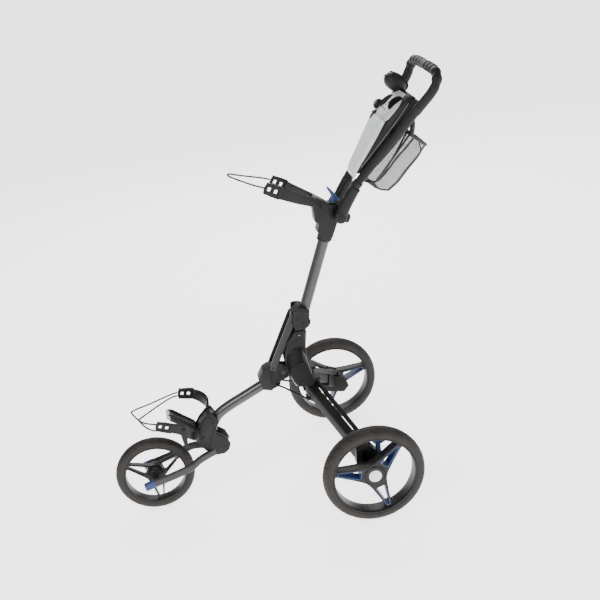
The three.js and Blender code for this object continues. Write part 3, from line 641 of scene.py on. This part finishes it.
for s, q in SIDES:
    shell = [loft([hood_ring(s, t) for t in (0, 0.25, 0.5, 0.75, 1)]),
             plate([*hood_face, (-103, 323), (-140, 331)], *across(s, 57, 60.5), 1.6, r=5)]
    for y, z in ((-140, 392), (-112, 380), (-132, 345)):
        shell.append(rod((s * 60, y, z), (s * 61.6, y, z), 2.4, 18, 0.4))
    piece("leg_hood_" + q, joined(shell), "deep", "center")
body_plate = [(-128, 491), (-93, 491), (-100, 478), (-105, 417), (-90, 322), (-94, 307), (-104, 304),
              (-147, 315), (-160, 336), (-167, 356), (-170, 413), (-154, 464)]
for s, q in SIDES:
    x0, x1 = across(s, 22.9, 28.2)
    parts = [plate(body_plate, x0, x1, 2, r=7)]
    for y, z, r in ((-117, 479, 3.6), (-127, 455, 2.6), (-128, 424, 2.6)):
        parts.append(rod((s * 27, y, z), (s * 29.2, y, z), r, 20, 0.5))
    x0, x1 = across(s, 27.6, 29.0)
    parts.append(plate([(-152, 452), (-112, 470), (-112, 424), (-160, 410)], x0, x1, 0.5, r=5))
    piece("side_plate_" + q, joined(parts), "black", "center", "body_plate_" + q)
    bolts = [rod((s * 28, -117, 479), (s * 30.2, -117, 479), 1.8, 6, 0.3)]
    piece("plate_bolt_" + q, joined(bolts), "steel", "center", smooth=0.4)
soft_copy("rear_cover_strip", "graphite", "center", 1.5)
soft_copy("mast_collar", "black", "mast", 1.6)
cover = [(-121, 563), (-102, 562), (-77, 551), (-86, 519), (-93, 495), (-124, 495), (-130, 515)]
for s, q in SIDES:
    lip = [plate(cover, *across(s, 28.8, 31.0), 0.9, r=4),
           plate([(-122, 556), (-104, 556), (-84, 547), (-86, 540), (-124, 546)], *across(s, 30.6, 32.0),
                 0.5, r=2),
           rod((s * 30.5, -112, 528), (s * 32.4, -112, 528), 3, 20, 0.4),
           rod((s * 30.5, -98, 512), (s * 32.4, -98, 512), 5, 24, 0.4),
           rod((s * 22, -98, 512), (s * 29, -98, 512), 6, 24)]
    piece("collar_cover_" + q, joined(lip), "black", "mast")
pivots = (-125, 535), (-207, 388)
a, b = np.array(pivots, float)
d = (b - a) / np.linalg.norm(b - a)
n = np.array((-d[1], d[0])) * 10.5


def strut_outline(past, wide):
    """A strip along the strut, past mm beyond its pivots and wide of its half width."""
    return [tuple(a - d * past + n * wide), tuple(b + d * past + n * wide),
            tuple(b + d * past - n * wide), tuple(a - d * past - n * wide)]


for s, q in SIDES:
    bar = plate(strut_outline(8, 1), *across(s, 17.5, 22.4), 1, r=4)
    rib = plate(strut_outline(-12, 0.25), *across(s, 22.0, 22.8), 0.3, r=2)
    piece("strut_" + q, joined([bar, rib]), "strut", "struts_" + q, "fold_strut_" + q)
    pins = [rod((s * 21.8, *p), (s * 22.8, *p), 3.6, 24, 0.3) for p in pivots]
    piece("strut_rivets_" + q, joined(pins), "black", "struts_" + q)

# ---- rear legs ----

for s, q in SIDES:
    a, b = (s * 40, -112, 312), (s * 240, -12, 176)
    bar = [sweep(part_way(a, b, np.linspace(0, 1, 12)), soft_rect(27, 34, 4.5), ends=2)]
    for off in (-8, 8):
        lift, aside = np.array((0, 0, 17.2)), np.array((-s * 0.45, 0.9, 0)) * off
        rail = [tuple(p + lift + aside) for p in part_way(a, b, np.linspace(0.1, 0.93, 10))]
        bar.append(sweep(rail, soft_rect(2.6, 2.2, 0.8)))
    piece("leg_look_" + q, joined(bar), "tube_black", "leg_" + q, "leg_tube_" + q)
    way = part_way(a, b, (0.74, 0.8, 0.9, 0.99))
    piece("leg_sleeve_" + q, sweep(way, soft_rect(35, 56, 7), ends=2.5), "deep", "leg_" + q)
    root = [rod((s * 40, -112, 293), (s * 40, -112, 331), 11.5),
            sweep(part_way(a, b, (0.03, 0.07, 0.13)), soft_rect(29, 37, 6), ends=2)]
    piece("leg_root_" + q, joined(root), "deep", "leg_" + q)
    a, b = (s * 40, -88, 326), (s * 240, 12, 190)
    thin = [sweep(part_way(a, b, np.linspace(0, 1, 10)), soft_rect(9, 15, 2.5), ends=1.5),
            rod((s * 40, -88, 318), (s * 40, -88, 335), 7),
            rod((s * 240, 12, 182), (s * 240, 12, 199), 7)]
    piece("link_look_" + q, joined(thin), "tube_black", "link_" + q, "leg_bar_" + q)
    soft_copy("hub_block_" + q, "deep", "hub_" + q, 2.0)
    screws = [rod((s * 254.4, y, z), (s * 256.6, y, z), 3.2, 18) for y, z in ((14, 142), (-18, 158))]
    piece("hub_screws_" + q, joined(screws), "strut", "hub_" + q, smooth=0.5)
    soft_copy("wheel_catch_" + q, "blue", "catch_" + q, 1.5)
pedal = [plate([(24, 168), (37, 170), (38, 222), (22, 222)], 239.8, 250.2, 1.2, r=3),
         plate([(10, 232), (14, 219), (26, 212), (36, 212), (55, 220), (60, 233), (42, 242), (13, 244)],
               226, 264, 2.5, r=4),
         rod((239.8, 30, 167), (250.2, 30, 167), 8)]
for k in range(5):
    pedal.append(plate([(17 + 8 * k, 240), (19 + 8 * k, 245.5), (21 + 8 * k, 240)], 231, 259, 0.4, r=0.6))
piece("pedal_look", joined(pedal), "blue", "pedal", "brake_pedal")

# ---- mast and upper cradle ----

mast = sweep([(0, -88.6, 541), (0, -40, 653), (0, 16, 782)], round_section(16, 40))
piece("mast_look", mast, "graphite", "mast", "mast_tube", smooth=0.8)
soft_copy("cradle_housing", "black", "mast", 2.4)
cradle = [sweep([(0, -3, 741), (0, 1, 751), (0, 6, 762)], round_section(19.5, 36), ends=1.5)]
for s in (1, -1):
    x0, x1 = across(s, 21.6, 23.2)
    cradle.append(plate([(-14, 806), (-4, 772), (12, 756), (24, 776), (38, 808), (30, 834), (-2, 842)],
                        x0, x1, 0.6, r=8))
piece("cradle_trim", joined(cradle), "black", "mast")
knob = [rod((0, 44, 804), (0, 66, 794.5), 6)]
ridges = []
d = Vector((0, 15, -6.4)).normalized()
for t, r in ((0, 11), (2, 13), (12, 13), (15, 10.5)):
    ring = []
    for i in range(72):
        a = 2 * math.pi * i / 72
        k = r + (0.8 * math.cos(a * 12) if 1 < t < 14 else 0)
        spoke = X_AXIS * math.cos(a) + d.cross(X_AXIS) * math.sin(a)
        ring.append(P(*(Vector((0, 65, 795)) + d * t + spoke * k)))
    ridges.append(ring)
knob.append(loft(ridges))
piece("knob_look", joined(knob), "black", "clamp_knob", "mast_knob")
lever = [plate([(26, 849), (52, 846), (58, 856), (48, 867), (34, 860)], -10, 10, 2, r=4),
         plate([(38, 856), (50, 861), (46, 872), (31, 891.5), (26, 889), (35, 870)], -8.5, 8.5, 2, r=4),
         rod((-12, 50, 856), (12, 50, 856), 5)]
piece("lever_look", joined(lever), "blue", "lever", "clamp_lever")


def bag_arm(tag, root, bend, tip, side, x_tip, band, node, body, root_tall, hook=None):
    """A curved bag arm, its ribbed pad and the windowed head at its end."""
    path = curve_points([*root, *bend, (side * x_tip, *tip)], 40)
    cut_at = 40 - round(40 * 40 / sum(math.dist(a, b) for a, b in zip(path, path[1:])))
    parts = [sweep(path[:cut_at], soft_rect(7.5, band, 3.4), ends=1.5,
                   scale=lambda t: (1, root_tall + (1 - root_tall) * t * t))]
    ty, tz = tip
    dy, dz = (bend[-1][1] - ty), (bend[-1][2] - tz)
    length = math.hypot(dy, dz)
    dy, dz = dy / length, dz / length
    ny, nz = -dz, dy
    if nz < 0:
        ny, nz = -ny, -nz

    def at(d, n):
        return (ty + dy * d + ny * n, tz + dz * d + nz * n)

    x0, x1 = across(side, x_tip - 4.6, x_tip + 4.6)
    h = band / 2
    head = [at(-3, -h * 0.55), at(2, -h * 0.95), at(24, -h * 1.02), at(46, -h), at(46, h), at(24, h * 1.04),
            at(2, h * 0.9), at(-3, h * 0.5)]
    holes = [rounded([at(d - 4.6, -5.6), at(d - 4.6, 6), at(d + 4.6, 6.4), at(d + 4.6, -6)], 3.4, 4)
             for d in (10, 29)]
    parts.append(plate(head, x0, x1, 1.6, holes, r=4))
    for d in (1, 19.5, 39):
        x2, x3 = across(side, x_tip - 5.6, x_tip + 5.6)
        parts.append(plate([at(d - 2, -h * 0.95), at(d + 2.4, -h * 0.98), at(d + 2.4, h * 0.98),
                            at(d - 2, h * 0.95)], x2, x3, 0.8, r=1.5))
    inner = path[10:26]
    rail = [(x - side * 5.2, y - 1.2, z) for x, y, z in inner]
    parts.append(sweep(rail, soft_rect(4.5, band * 0.75, 2), ends=1.5))
    if hook:
        parts.append(hook)
    return piece(tag, joined(parts), "black", body, node)


bag_arm("upper_arm_near_look", [(14, 12, 843), (26, -6, 857)],
        [(40, -30, 872), (56, -56, 888), (76, -90, 912)],
        (-147, 947), 1, 85, 34, "upper_arm_near", "mast", 0.72)
bag_arm("upper_arm_far_look", [(-14, 12, 843), (-26, -6, 855)],
        [(-40, -28, 868), (-58, -52, 880), (-78, -80, 894)],
        (-112, 914), -1, 85, 34, "upper_arm_far", "mast", 0.72)
horn = plate([(-22, 800), (-20, 868), (-8, 874), (4, 862), (22, 848), (44, 842), (20, 800)],
             -23.4, 23.4, 4, r=8)
piece("cradle_horn", horn, "black", "mast")
hook = plate([(-508, 292), (-504, 250), (-501, 230), (-497, 225), (-493, 231), (-489, 262), (-488, 290)],
             84, 91, 2, r=3)
bag_arm("lower_arm_near_look", [(22, -450, 222), (32, -458, 230), (45, -468, 240)],
        [(62, -480, 258), (78, -492, 278), (88, -508, 294)],
        (-567, 320), 1, 90, 30, "lower_arm_near", "front_frame", 1.1, hook)
bag_arm("lower_arm_far_look", [(-22, -430, 250), (-40, -416, 267)],
        [(-62, -418, 284), (-80, -436, 298), (-89, -462, 308)],
        (-494, 315), -1, 90, 34, "lower_arm_far", "front_frame", 1.4)
ratchet = [rod((40, -464, 236), (58, -470, 246), 13, 12, 2),
           rod((56, -469, 245), (60, -470.5, 247.5), 6, 6, 0.5)]
for k in range(4):
    y, z = -478 - 9 * k, 262 + 9 * k
    ratchet.append(rod((62 + 7 * k, y - 3, z - 6), (68 + 7 * k, y - 6, z - 3), 3.2, 14, 0.6))
piece("lower_arm_ratchet", joined(ratchet), "strut", "front_frame")
rest = [plate([(-460, 250), (-460, 231), (-531, 287), (-538, 298), (-536, 307), (-521, 301)],
              -20, 20, 2, r=4)]
for k in (-16.5, 16.5):
    rest.append(plate([(-464, 248), (-462, 254), (-520, 305), (-532, 309), (-524, 299)],
                      k - 3, k + 3, 0.8, r=1))
piece("rest_look", joined(rest), "black", "front_frame", "bag_rest")
tip = plate([(-529, 290), (-540, 298), (-538, 309), (-528, 305)], -21, 21, 1.5, r=2)
piece("rest_tip", tip, "light", "front_frame")

# ---- handle ----

tube = [(40, 76, 868), (60, 143, 940), (82, 205, 1006), (103, 266, 1071)]
stations = [(108, 276, 1083), (122, 312, 1122), (126, 327, 1145), (118, 334, 1163), (95, 337, 1172)]
for s, q in SIDES:
    route = [(s * x, y, z) for x, y, z in [*tube, (107.2, 274.2, 1081)]]
    piece("handle_tube_look_" + q, sweep(curve_points(route, 40), round_section(11.5, 32)), "tube_black",
          "handle", "handle_tube_" + q, smooth=0.8)
    ring = curve_points([(s * 105.5, 271, 1077.5), (s * 110, 281, 1089)], 6)
    piece("grip_ring_" + q, sweep(ring, round_section(13.8, 32), ends=1.2), "black", "handle", smooth=0.7)
loop = [*stations, (50, 338, 1174), (0, 338, 1174), (-50, 338, 1174),
        *[(-x, y, z) for x, y, z in reversed(stations)]]
path = curve_points(loop, 260)


def finger(t):
    """Finger ridges on the crossbar and its corners."""
    k = 1.0
    u = abs(t - 0.5)
    if 0.04 < u < 0.33:
        k += 0.09 * math.sin(2 * math.pi * (u - 0.04) * 17.2)
    return k, k


grip = sweep(path, round_section(13.0, 36), (0, -HANDLE_Z, HANDLE_Y), finger, ends=1.5)
piece("grip_look", grip, "grip", "handle", "handle_grip", smooth=1.0)
for s, q in SIDES:
    shank = [(s * 39, 48, 808), (s * 40, 56, 826), (s * 43, 72, 852), (s * 47, 92, 880), (s * 49, 99, 888)]
    parts = [sweep(curve_points(shank, 30), soft_rect(29, 33, 12), ends=2.5,
                   scale=lambda t: (1, 1.06 - 0.16 * t)),
             rod((s * 24.2, 48, 812), (s * 54, 48, 812), 17, 40, 3),
             rod((s * 53, 48, 812), (s * 56, 48, 812), 8, 24, 1),
             rod((s * 16, 48, 812), (s * 25, 48, 812), 6, 24)]
    piece("socket_look_" + q, joined(parts), "black", "handle", "handle_socket_" + q)
    ring = curve_points([(s * 46, 98, 891), (s * 49.5, 109, 903)], 6)
    piece("socket_ring_" + q, sweep(ring, round_section(14, 32), ends=1.2), "black", "handle", smooth=0.7)


def interpolated(rows, n):
    """n rows evenly spaced through the given ones."""
    rows = np.array(rows, float)
    t = np.arange(len(rows))
    return [tuple(np.interp(v, t, rows[:, k]) for k in range(rows.shape[1]))
            for v in np.linspace(0, len(rows) - 1, n)]


def shell_ring(s, half, low, high, tilt, top_c, low_c=3.0):
    """A console section: domed along its top edges, tight below."""
    out = []
    wide_c = min(half - 2, 1.7 * top_c)
    for cx, cy, rx, ry, a0 in ((half - wide_c, high - top_c, wide_c, top_c, 0),
                               (wide_c - half, high - top_c, wide_c, top_c, 90),
                               (low_c - half, low + low_c, low_c, low_c, 180),
                               (half - low_c, low + low_c, low_c, low_c, 270)):
        for i in range(10):
            a = math.radians(a0 + 90 * i / 9)
            x, n = cx + rx * math.cos(a), cy + ry * math.sin(a)
            out.append(P(*H(x, s + tilt * (n - 20), n)))
    return out


# Rows of (distance along, half width, underside, top, tilt, top corner) of the console's two shells.
SHELL = [(54, 38, 9, 16, 0, 4), (60, 43, 9, 20, 0, 8), (80, 49, 9, 24, 0, 12), (110, 55, 9, 29, 0, 17),
         (160, 64, 9, 37, 0, 24), (206, 71, 9, 44, 0, 30), (235, 73, 9, 44, 0, 31), (262, 73, 8, 38, 0, 26),
         (285, 72, 6, 31, -0.1, 21), (298, 69, 4, 26, -0.2, 18), (303, 64, 5, 22, -0.25, 13)]
TRAY = [(56, 34, -4, 12, 0, 3), (66, 36, -18, 12, 0, 4), (110, 42, -24, 12, 0, 4), (170, 55, -27, 12, 0, 4),
        (230, 66, -27, 12, 0, 4), (270, 72, -22, 12, -0.1, 4), (299, 69, -10, 10, -0.2, 4)]
console = [loft([shell_ring(*row) for row in interpolated(SHELL, 61)]),
           loft([shell_ring(*row) for row in interpolated(TRAY, 37)])]
for s in (1, -1):
    console.append(sweep([H(s * 56, 200, -10), H(s * 74, 200, -10)], soft_rect(26, 7, 3), ends=1))
piece("console_look", joined(console), "black", "handle", "console_body", smooth=0.9)

# Rows of (distance along, half width, underside, top) of the pale panel.
BEZEL = [(210, 54, 34, 46.4), (222, 60, 32, 47.2), (240, 62, 30, 45.6), (262, 61, 26, 40.6),
         (285, 56, 20, 34), (300, 44, 17, 28.4)]


def bezel_loft(rows):
    """The pale panel: an arched skin, 3 mm thick."""
    rings = []
    for s, half, low, high in rows:
        tilt = -0.15 * max(0, s - 262) / 40
        ring = []
        arc = [math.pi * k / 40 for k in range(41)]
        for skin, angles in ((0, arc), (3, [math.pi * (1 - k / 40) for k in range(41)])):
            for a in angles:
                n = low - skin + (high - low) * math.sin(a) ** 0.55
                ring.append(P(*H((half - skin) * math.cos(a), s + tilt * (n - 20), n)))
        rings.append(ring)
    return loft(rings)


piece("console_bezel", bezel_loft(interpolated(BEZEL, 26)), "light", "handle", smooth=0.7)


def frame_dir(x, s, n):
    """A direction across, along and out from the handle tubes."""
    c, k = math.cos(HANDLE_RISE), math.sin(HANDLE_RISE)
    return Vector((x, s * c - n * k, s * k + n * c)).normalized()


# Each ball holder: a black ring with a near-black cup inside it. The cup is painted shade for the holder's
# hollow.
for i, (x, s, n, d) in enumerate(((43, 264, 34, frame_dir(0.62, 0.2, 0.75)),
                                  (-25, 256, 39, frame_dir(0.12, 0.3, 0.95)))):
    at = H(x, s, n)
    for tag, radius, top, mat in (("ring", 19.5, 4.2, "black"), ("cup_shade", 16.2, 4.7, "hole")):
        side = X_AXIS - d * d.x
        side.normalize()
        up = d.cross(side)
        rings = []
        for t, k in ((-14, 0.8), (-6, 1), (top - 0.8, 1), (top, 0.95), (top + 0.05, 0.5)):
            centre = Vector(at) + d * t
            rings.append([P(*(centre + side * (k * radius * math.cos(a))
                              + up * (1.22 * k * radius * math.sin(a))))
                          for a in np.linspace(0, 2 * math.pi, 40, endpoint=False)])
        piece(f"ball_{tag}_{i}", loft(rings), mat, "handle")
# Tee holes: short near-black plugs of painted shade where the holes are.
for i, (x, s, n) in enumerate(((5, 238, 45.8), (5, 248, 43.6), (5, 258, 41.6), (5, 268, 39),
                               (22, 236, 45.6))):
    at = H(x, s, n)
    d = frame_dir(0.05, 0.2, 1)
    piece(f"tee_hole_shade_{i}", rod(Vector(at) + d * -4, Vector(at) + d * 0.9, 2.4, 20, 0.3), "hole", "handle")
# Console side lines: a thin light-grey line along each side of the console, a painted highlight.
highlight_lines = []
for s in (1, -1):
    pts = []
    for v in np.linspace(74, 284, 30):
        k = np.interp(v, [r[0] for r in SHELL], [r[1] for r in SHELL])
        pts.append(H(s * (k + 0.2), v, 16))
    highlight_lines.append(sweep(pts, round_section(1.2, 10)))
piece("console_painted_highlights", joined(highlight_lines), "painted_line", "handle", smooth=1.0)

# Rows of (distance along, half width, underside, top) of the lid.
LID = [(38, 30, 9, 16), (46, 36, 12, 24), (62, 41, 15, 28), (100, 47, 20, 33), (160, 54, 28, 42.5),
       (200, 58, 35, 49), (210, 57, 36, 48)]
lid = loft([shell_ring(s, half, low, high, 0, (high - low) * 0.75, 1.5)
            for s, half, low, high in interpolated(LID, 37)])
piece("lid_look", lid, "frosted", "lid", "score_lid", smooth=1.0)
clip = [sweep([H(-34, 194, 46), H(-34, 206, 48), H(-34, 220, 46)], soft_rect(16, 6, 2), ends=1),
        rod(H(-40, 212, 50), H(-24, 212, 50), 4, 20)]
piece("lid_clip", joined(clip), "black", "lid")
dial = [rod(H(-48, 236, 30), H(-48, 236, 46), 5),
        rod(H(-48, 236, 44), H(-48, 236, 53), 15, 40, 2),
        rod(H(-48, 236, 51), H(-48, 236, 57), 12, 40, 2.5)]
piece("dial_look", joined(dial), "black", "dial", "console_knob")


def head_ring(s, r):
    """A ring of the holder's round head, a little narrower than tall."""
    return [P(*H(-46 + 0.92 * r * math.cos(a), s, 41 + r * math.sin(a)))
            for a in np.linspace(0, 2 * math.pi, 40, endpoint=False)]


holder = [rod(H(-46, 266, 24), H(-46, 318, 24), 7.5),
          rod(H(-46, 286, 24), H(-46, 300, 26), 10, 32, 2)]
dome = ((286, 8), (288, 19), (293, 27), (301, 33), (310, 35), (319, 33), (326, 26), (330, 15))
rim = ((306, 24), (306.6, 36.8), (311.4, 37), (312, 24))
for rows in (dome, rim):
    holder.append(loft([head_ring(s, r) for s, r in rows]))
for x in (-58, -34):
    holder.append(sweep(curve_points([H(x, 289, 12), H(x, 320, 10), H(x, 332, 36), H(x, 326, 66)], 20),
                        soft_rect(5, 7, 2.2), (1, 0, 0), ends=1.5))
piece("holder_look", joined(holder), "black", "umbrella", "umbrella_holder")
strap = sweep(curve_points([H(-46, 300, 12), H(-46, 284, 6), H(-46, 276, 14)], 12), soft_rect(16, 5, 2),
              (1, 0, 0), ends=1)
piece("holder_strap", strap, "black", "handle")
clip = [sweep(curve_points([H(62, 268, -6), H(62, 250, -26), H(60, 234, -38), H(57, 220, -46)], 16),
              soft_rect(14, 12, 4), ends=1.5),
        rod(H(55, 250, -25), H(67, 250, -25), 7, 24, 1)]
piece("net_clip", joined(clip), "black", "handle")

# ---- net bag ----

# Rows of (distance along, half width, top, underside) of the sack.
BAG = [(47, 36, -14, -58), (52, 44, -26, -78), (62, 52, -36, -92), (95, 57, -36, -99), (140, 58, -36, -100),
       (185, 58, -37, -104), (220, 57, -38, -103)]
rows = interpolated(BAG, 37)
rings = [[P(*H(x, s, n + (low + high) / 2)) for x, n in soft_rect(2 * half, high - low, 20, 6)]
         for s, half, high, low in rows]
count = len(rings[0])
verts = [v for ring in rings for v in ring]
faces = [(r * count + i, r * count + (i + 1) % count, (r + 1) * count + (i + 1) % count,
          (r + 1) * count + i)
         for r in range(len(rings) - 1) for i in range(count)]
faces.append(tuple(range(count)))
bag_mesh = bpy.data.meshes.new("bag")
bag_mesh.from_pydata([tuple(v) for v in verts], [], faces)
layer = bag_mesh.uv_layers.new(name="UVMap")
around = [0.0]
for i in range(count):
    around.append(around[-1] + (rings[18][(i + 1) % count] - rings[18][i]).length)
for poly in bag_mesh.polygons:
    wrap = any(bag_mesh.loops[k].vertex_index % count > count - 2 for k in poly.loop_indices)
    for k in poly.loop_indices:
        v = bag_mesh.loops[k].vertex_index
        i = v % count
        u = around[count] if (wrap and i == 0) else around[i]
        layer.data[k].uv = (u * 10, rows[v // count][0] / 100)
net = piece("net_look", bag_mesh, "net", "handle", "net_bag", smooth=1.2)


def in_mm(v):
    """The point that P turned into v."""
    return (v.x * 1000, (v.y - AXLE_Y) * 1000, v.z * 1000)


def ring_at(r, u):
    """A point u places round the bag's ring r."""
    u %= count
    return rings[r][int(u)].lerp(rings[r][(int(u) + 1) % count], u - int(u))


binding = []
for r, wide, n in ((-1, 4.2, 12), (3, 2.4, 8)):
    hem = [in_mm(v) for v in [*rings[r], rings[r][0], rings[r][1]]]
    binding.append(sweep(hem, round_section(wide, n), (0, HANDLE_Y, HANDLE_Z)))
for start, swing, wide in ((3, 0, 3.0), (10, 1.2, 2.4), (17, -1.0, 3.0), (24, 0.6, 2.4),
                           (6, -3.4, 2.6), (20, 3.2, 2.2)):
    line = [in_mm(ring_at(r, start + swing * math.sin(math.pi * r / 36))) for r in range(len(rings))]
    binding.insert(-1, sweep(line, round_section(wide, 8), (1, 0, 0)))
bind = piece("net_binding", joined(binding), "cord", "handle", smooth=1.0)

# ---- elastic cords ----

LOWER_A = [(90, -569, 326), (76, -593, 327), (60, -608, 327), (40, -622, 332), (10, -634, 336),
           (-8, -628, 333), (-50, -575, 323), (-80, -522, 321), (-91, -498, 319)]
LOWER_B = [(90, -575, 306), (76, -593, 310), (60, -606, 317), (30, -617, 318), (10, -612, 313),
           (-30, -572, 313), (-60, -545, 311), (-86, -516, 309), (-91, -499, 307)]
UPPER = [(85, -150, 948), (72, -178, 958), (40, -212, 970), (10, -232, 976), (-20, -230, 974),
         (-52, -196, 954), (-76, -140, 930), (-85, -116, 918)]
for name, points, body in (("lower_cord_a", LOWER_A, "front_frame"),
                           ("lower_cord_b", LOWER_B, "front_frame"), ("upper_cord", UPPER, "mast")):
    path = curve_points(points, 90)
    obj = piece(name + "_look", sweep(path, round_section(2.5, 12)), "cord", body, name, smooth=1.2)
    world = [P(*p) for p in path]

# ---- stay wires under the body ----

for s, q in SIDES:
    wire = curve_points([(s * 20, -206, 332), (s * 25, -187, 322), (s * 44, -146, 296),
                         (s * 60, -112, 278), (s * 66, -98, 270)], 30)
    piece("stay_wire_" + q, sweep(wire, round_section(3, 12)), "black", "center", smooth=1.0)

# ---- CAD nodes that stay ----

for node, mat in (("main_pivot_pin", "strut"), ("front_pivot_pin", "strut"), ("front_axle", "deep"),
                  ("rear_axle_near", "steel"), ("rear_axle_far", "steel")):
    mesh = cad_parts[node].data
    mesh.materials.clear()
    mesh.materials.append(M[mat])

# ---- studio ----

floor_mesh = bpy.data.meshes.new("floor")
far = 90.0  # metres from the middle to the floor's edges
floor_mesh.from_pydata([(-far, -far, 0), (far, -far, 0), (far, far, 0), (-far, far, 0)], [], [(0, 1, 2, 3)])
floor = placed("floor", floor_mesh)
white = material("floor_white", (0.95, 0.95, 0.95), 0.7, Emission_Color=(1, 1, 1, 1), Emission_Strength=2.4)
floor_mesh.materials.append(white)

world = bpy.data.worlds.new("studio")
world.use_nodes = True
world.node_tree.nodes["Background"].inputs["Color"].default_value = (1, 1, 1, 1)
world.node_tree.nodes["Background"].inputs["Strength"].default_value = 0.45
bpy.context.scene.world = world


def area_light(name, at, target, size, power):
    data = bpy.data.lights.new(name, "AREA")
    data.energy = power
    data.size = size
    obj = placed(name, data)
    obj.location = at
    obj.rotation_euler = (Vector(target) - Vector(at)).to_track_quat("-Z", "Y").to_euler()


area_light("key", (2.2, -2.2, 3.2), (0, 0, 0.5), 1.6, 110)
area_light("fill", (2.5, 2.6, 2.2), (0, 0, 0.5), 1.8, 60)
area_light("back", (-2.6, 0.4, 2.4), (0, 0, 0.6), 2.4, 80)

# ---- camera ----

yaw, pitch, roll = -0.106, 0.409, -0.161
F = Vector((-math.cos(pitch) * math.cos(yaw), -math.cos(pitch) * math.sin(yaw), -math.sin(pitch)))
right = F.cross(Vector((0, 0, 1))).normalized()
up = right.cross(F)
right2 = right * math.cos(roll) + up * math.sin(roll)
up2 = up * math.cos(roll) - right * math.sin(roll)
cam_data = bpy.data.cameras.new("camera")
cam_data.lens = 60.01716
cam_data.sensor_width = 36
cam = placed("camera", cam_data)
place = P(2618.217, -373.699, 1715.868)
cam.matrix_world = Matrix(((right2.x, up2.x, -F.x, place.x), (right2.y, up2.y, -F.y, place.y),
                           (right2.z, up2.z, -F.z, place.z), (0, 0, 0, 1)))
bpy.context.scene.camera = cam
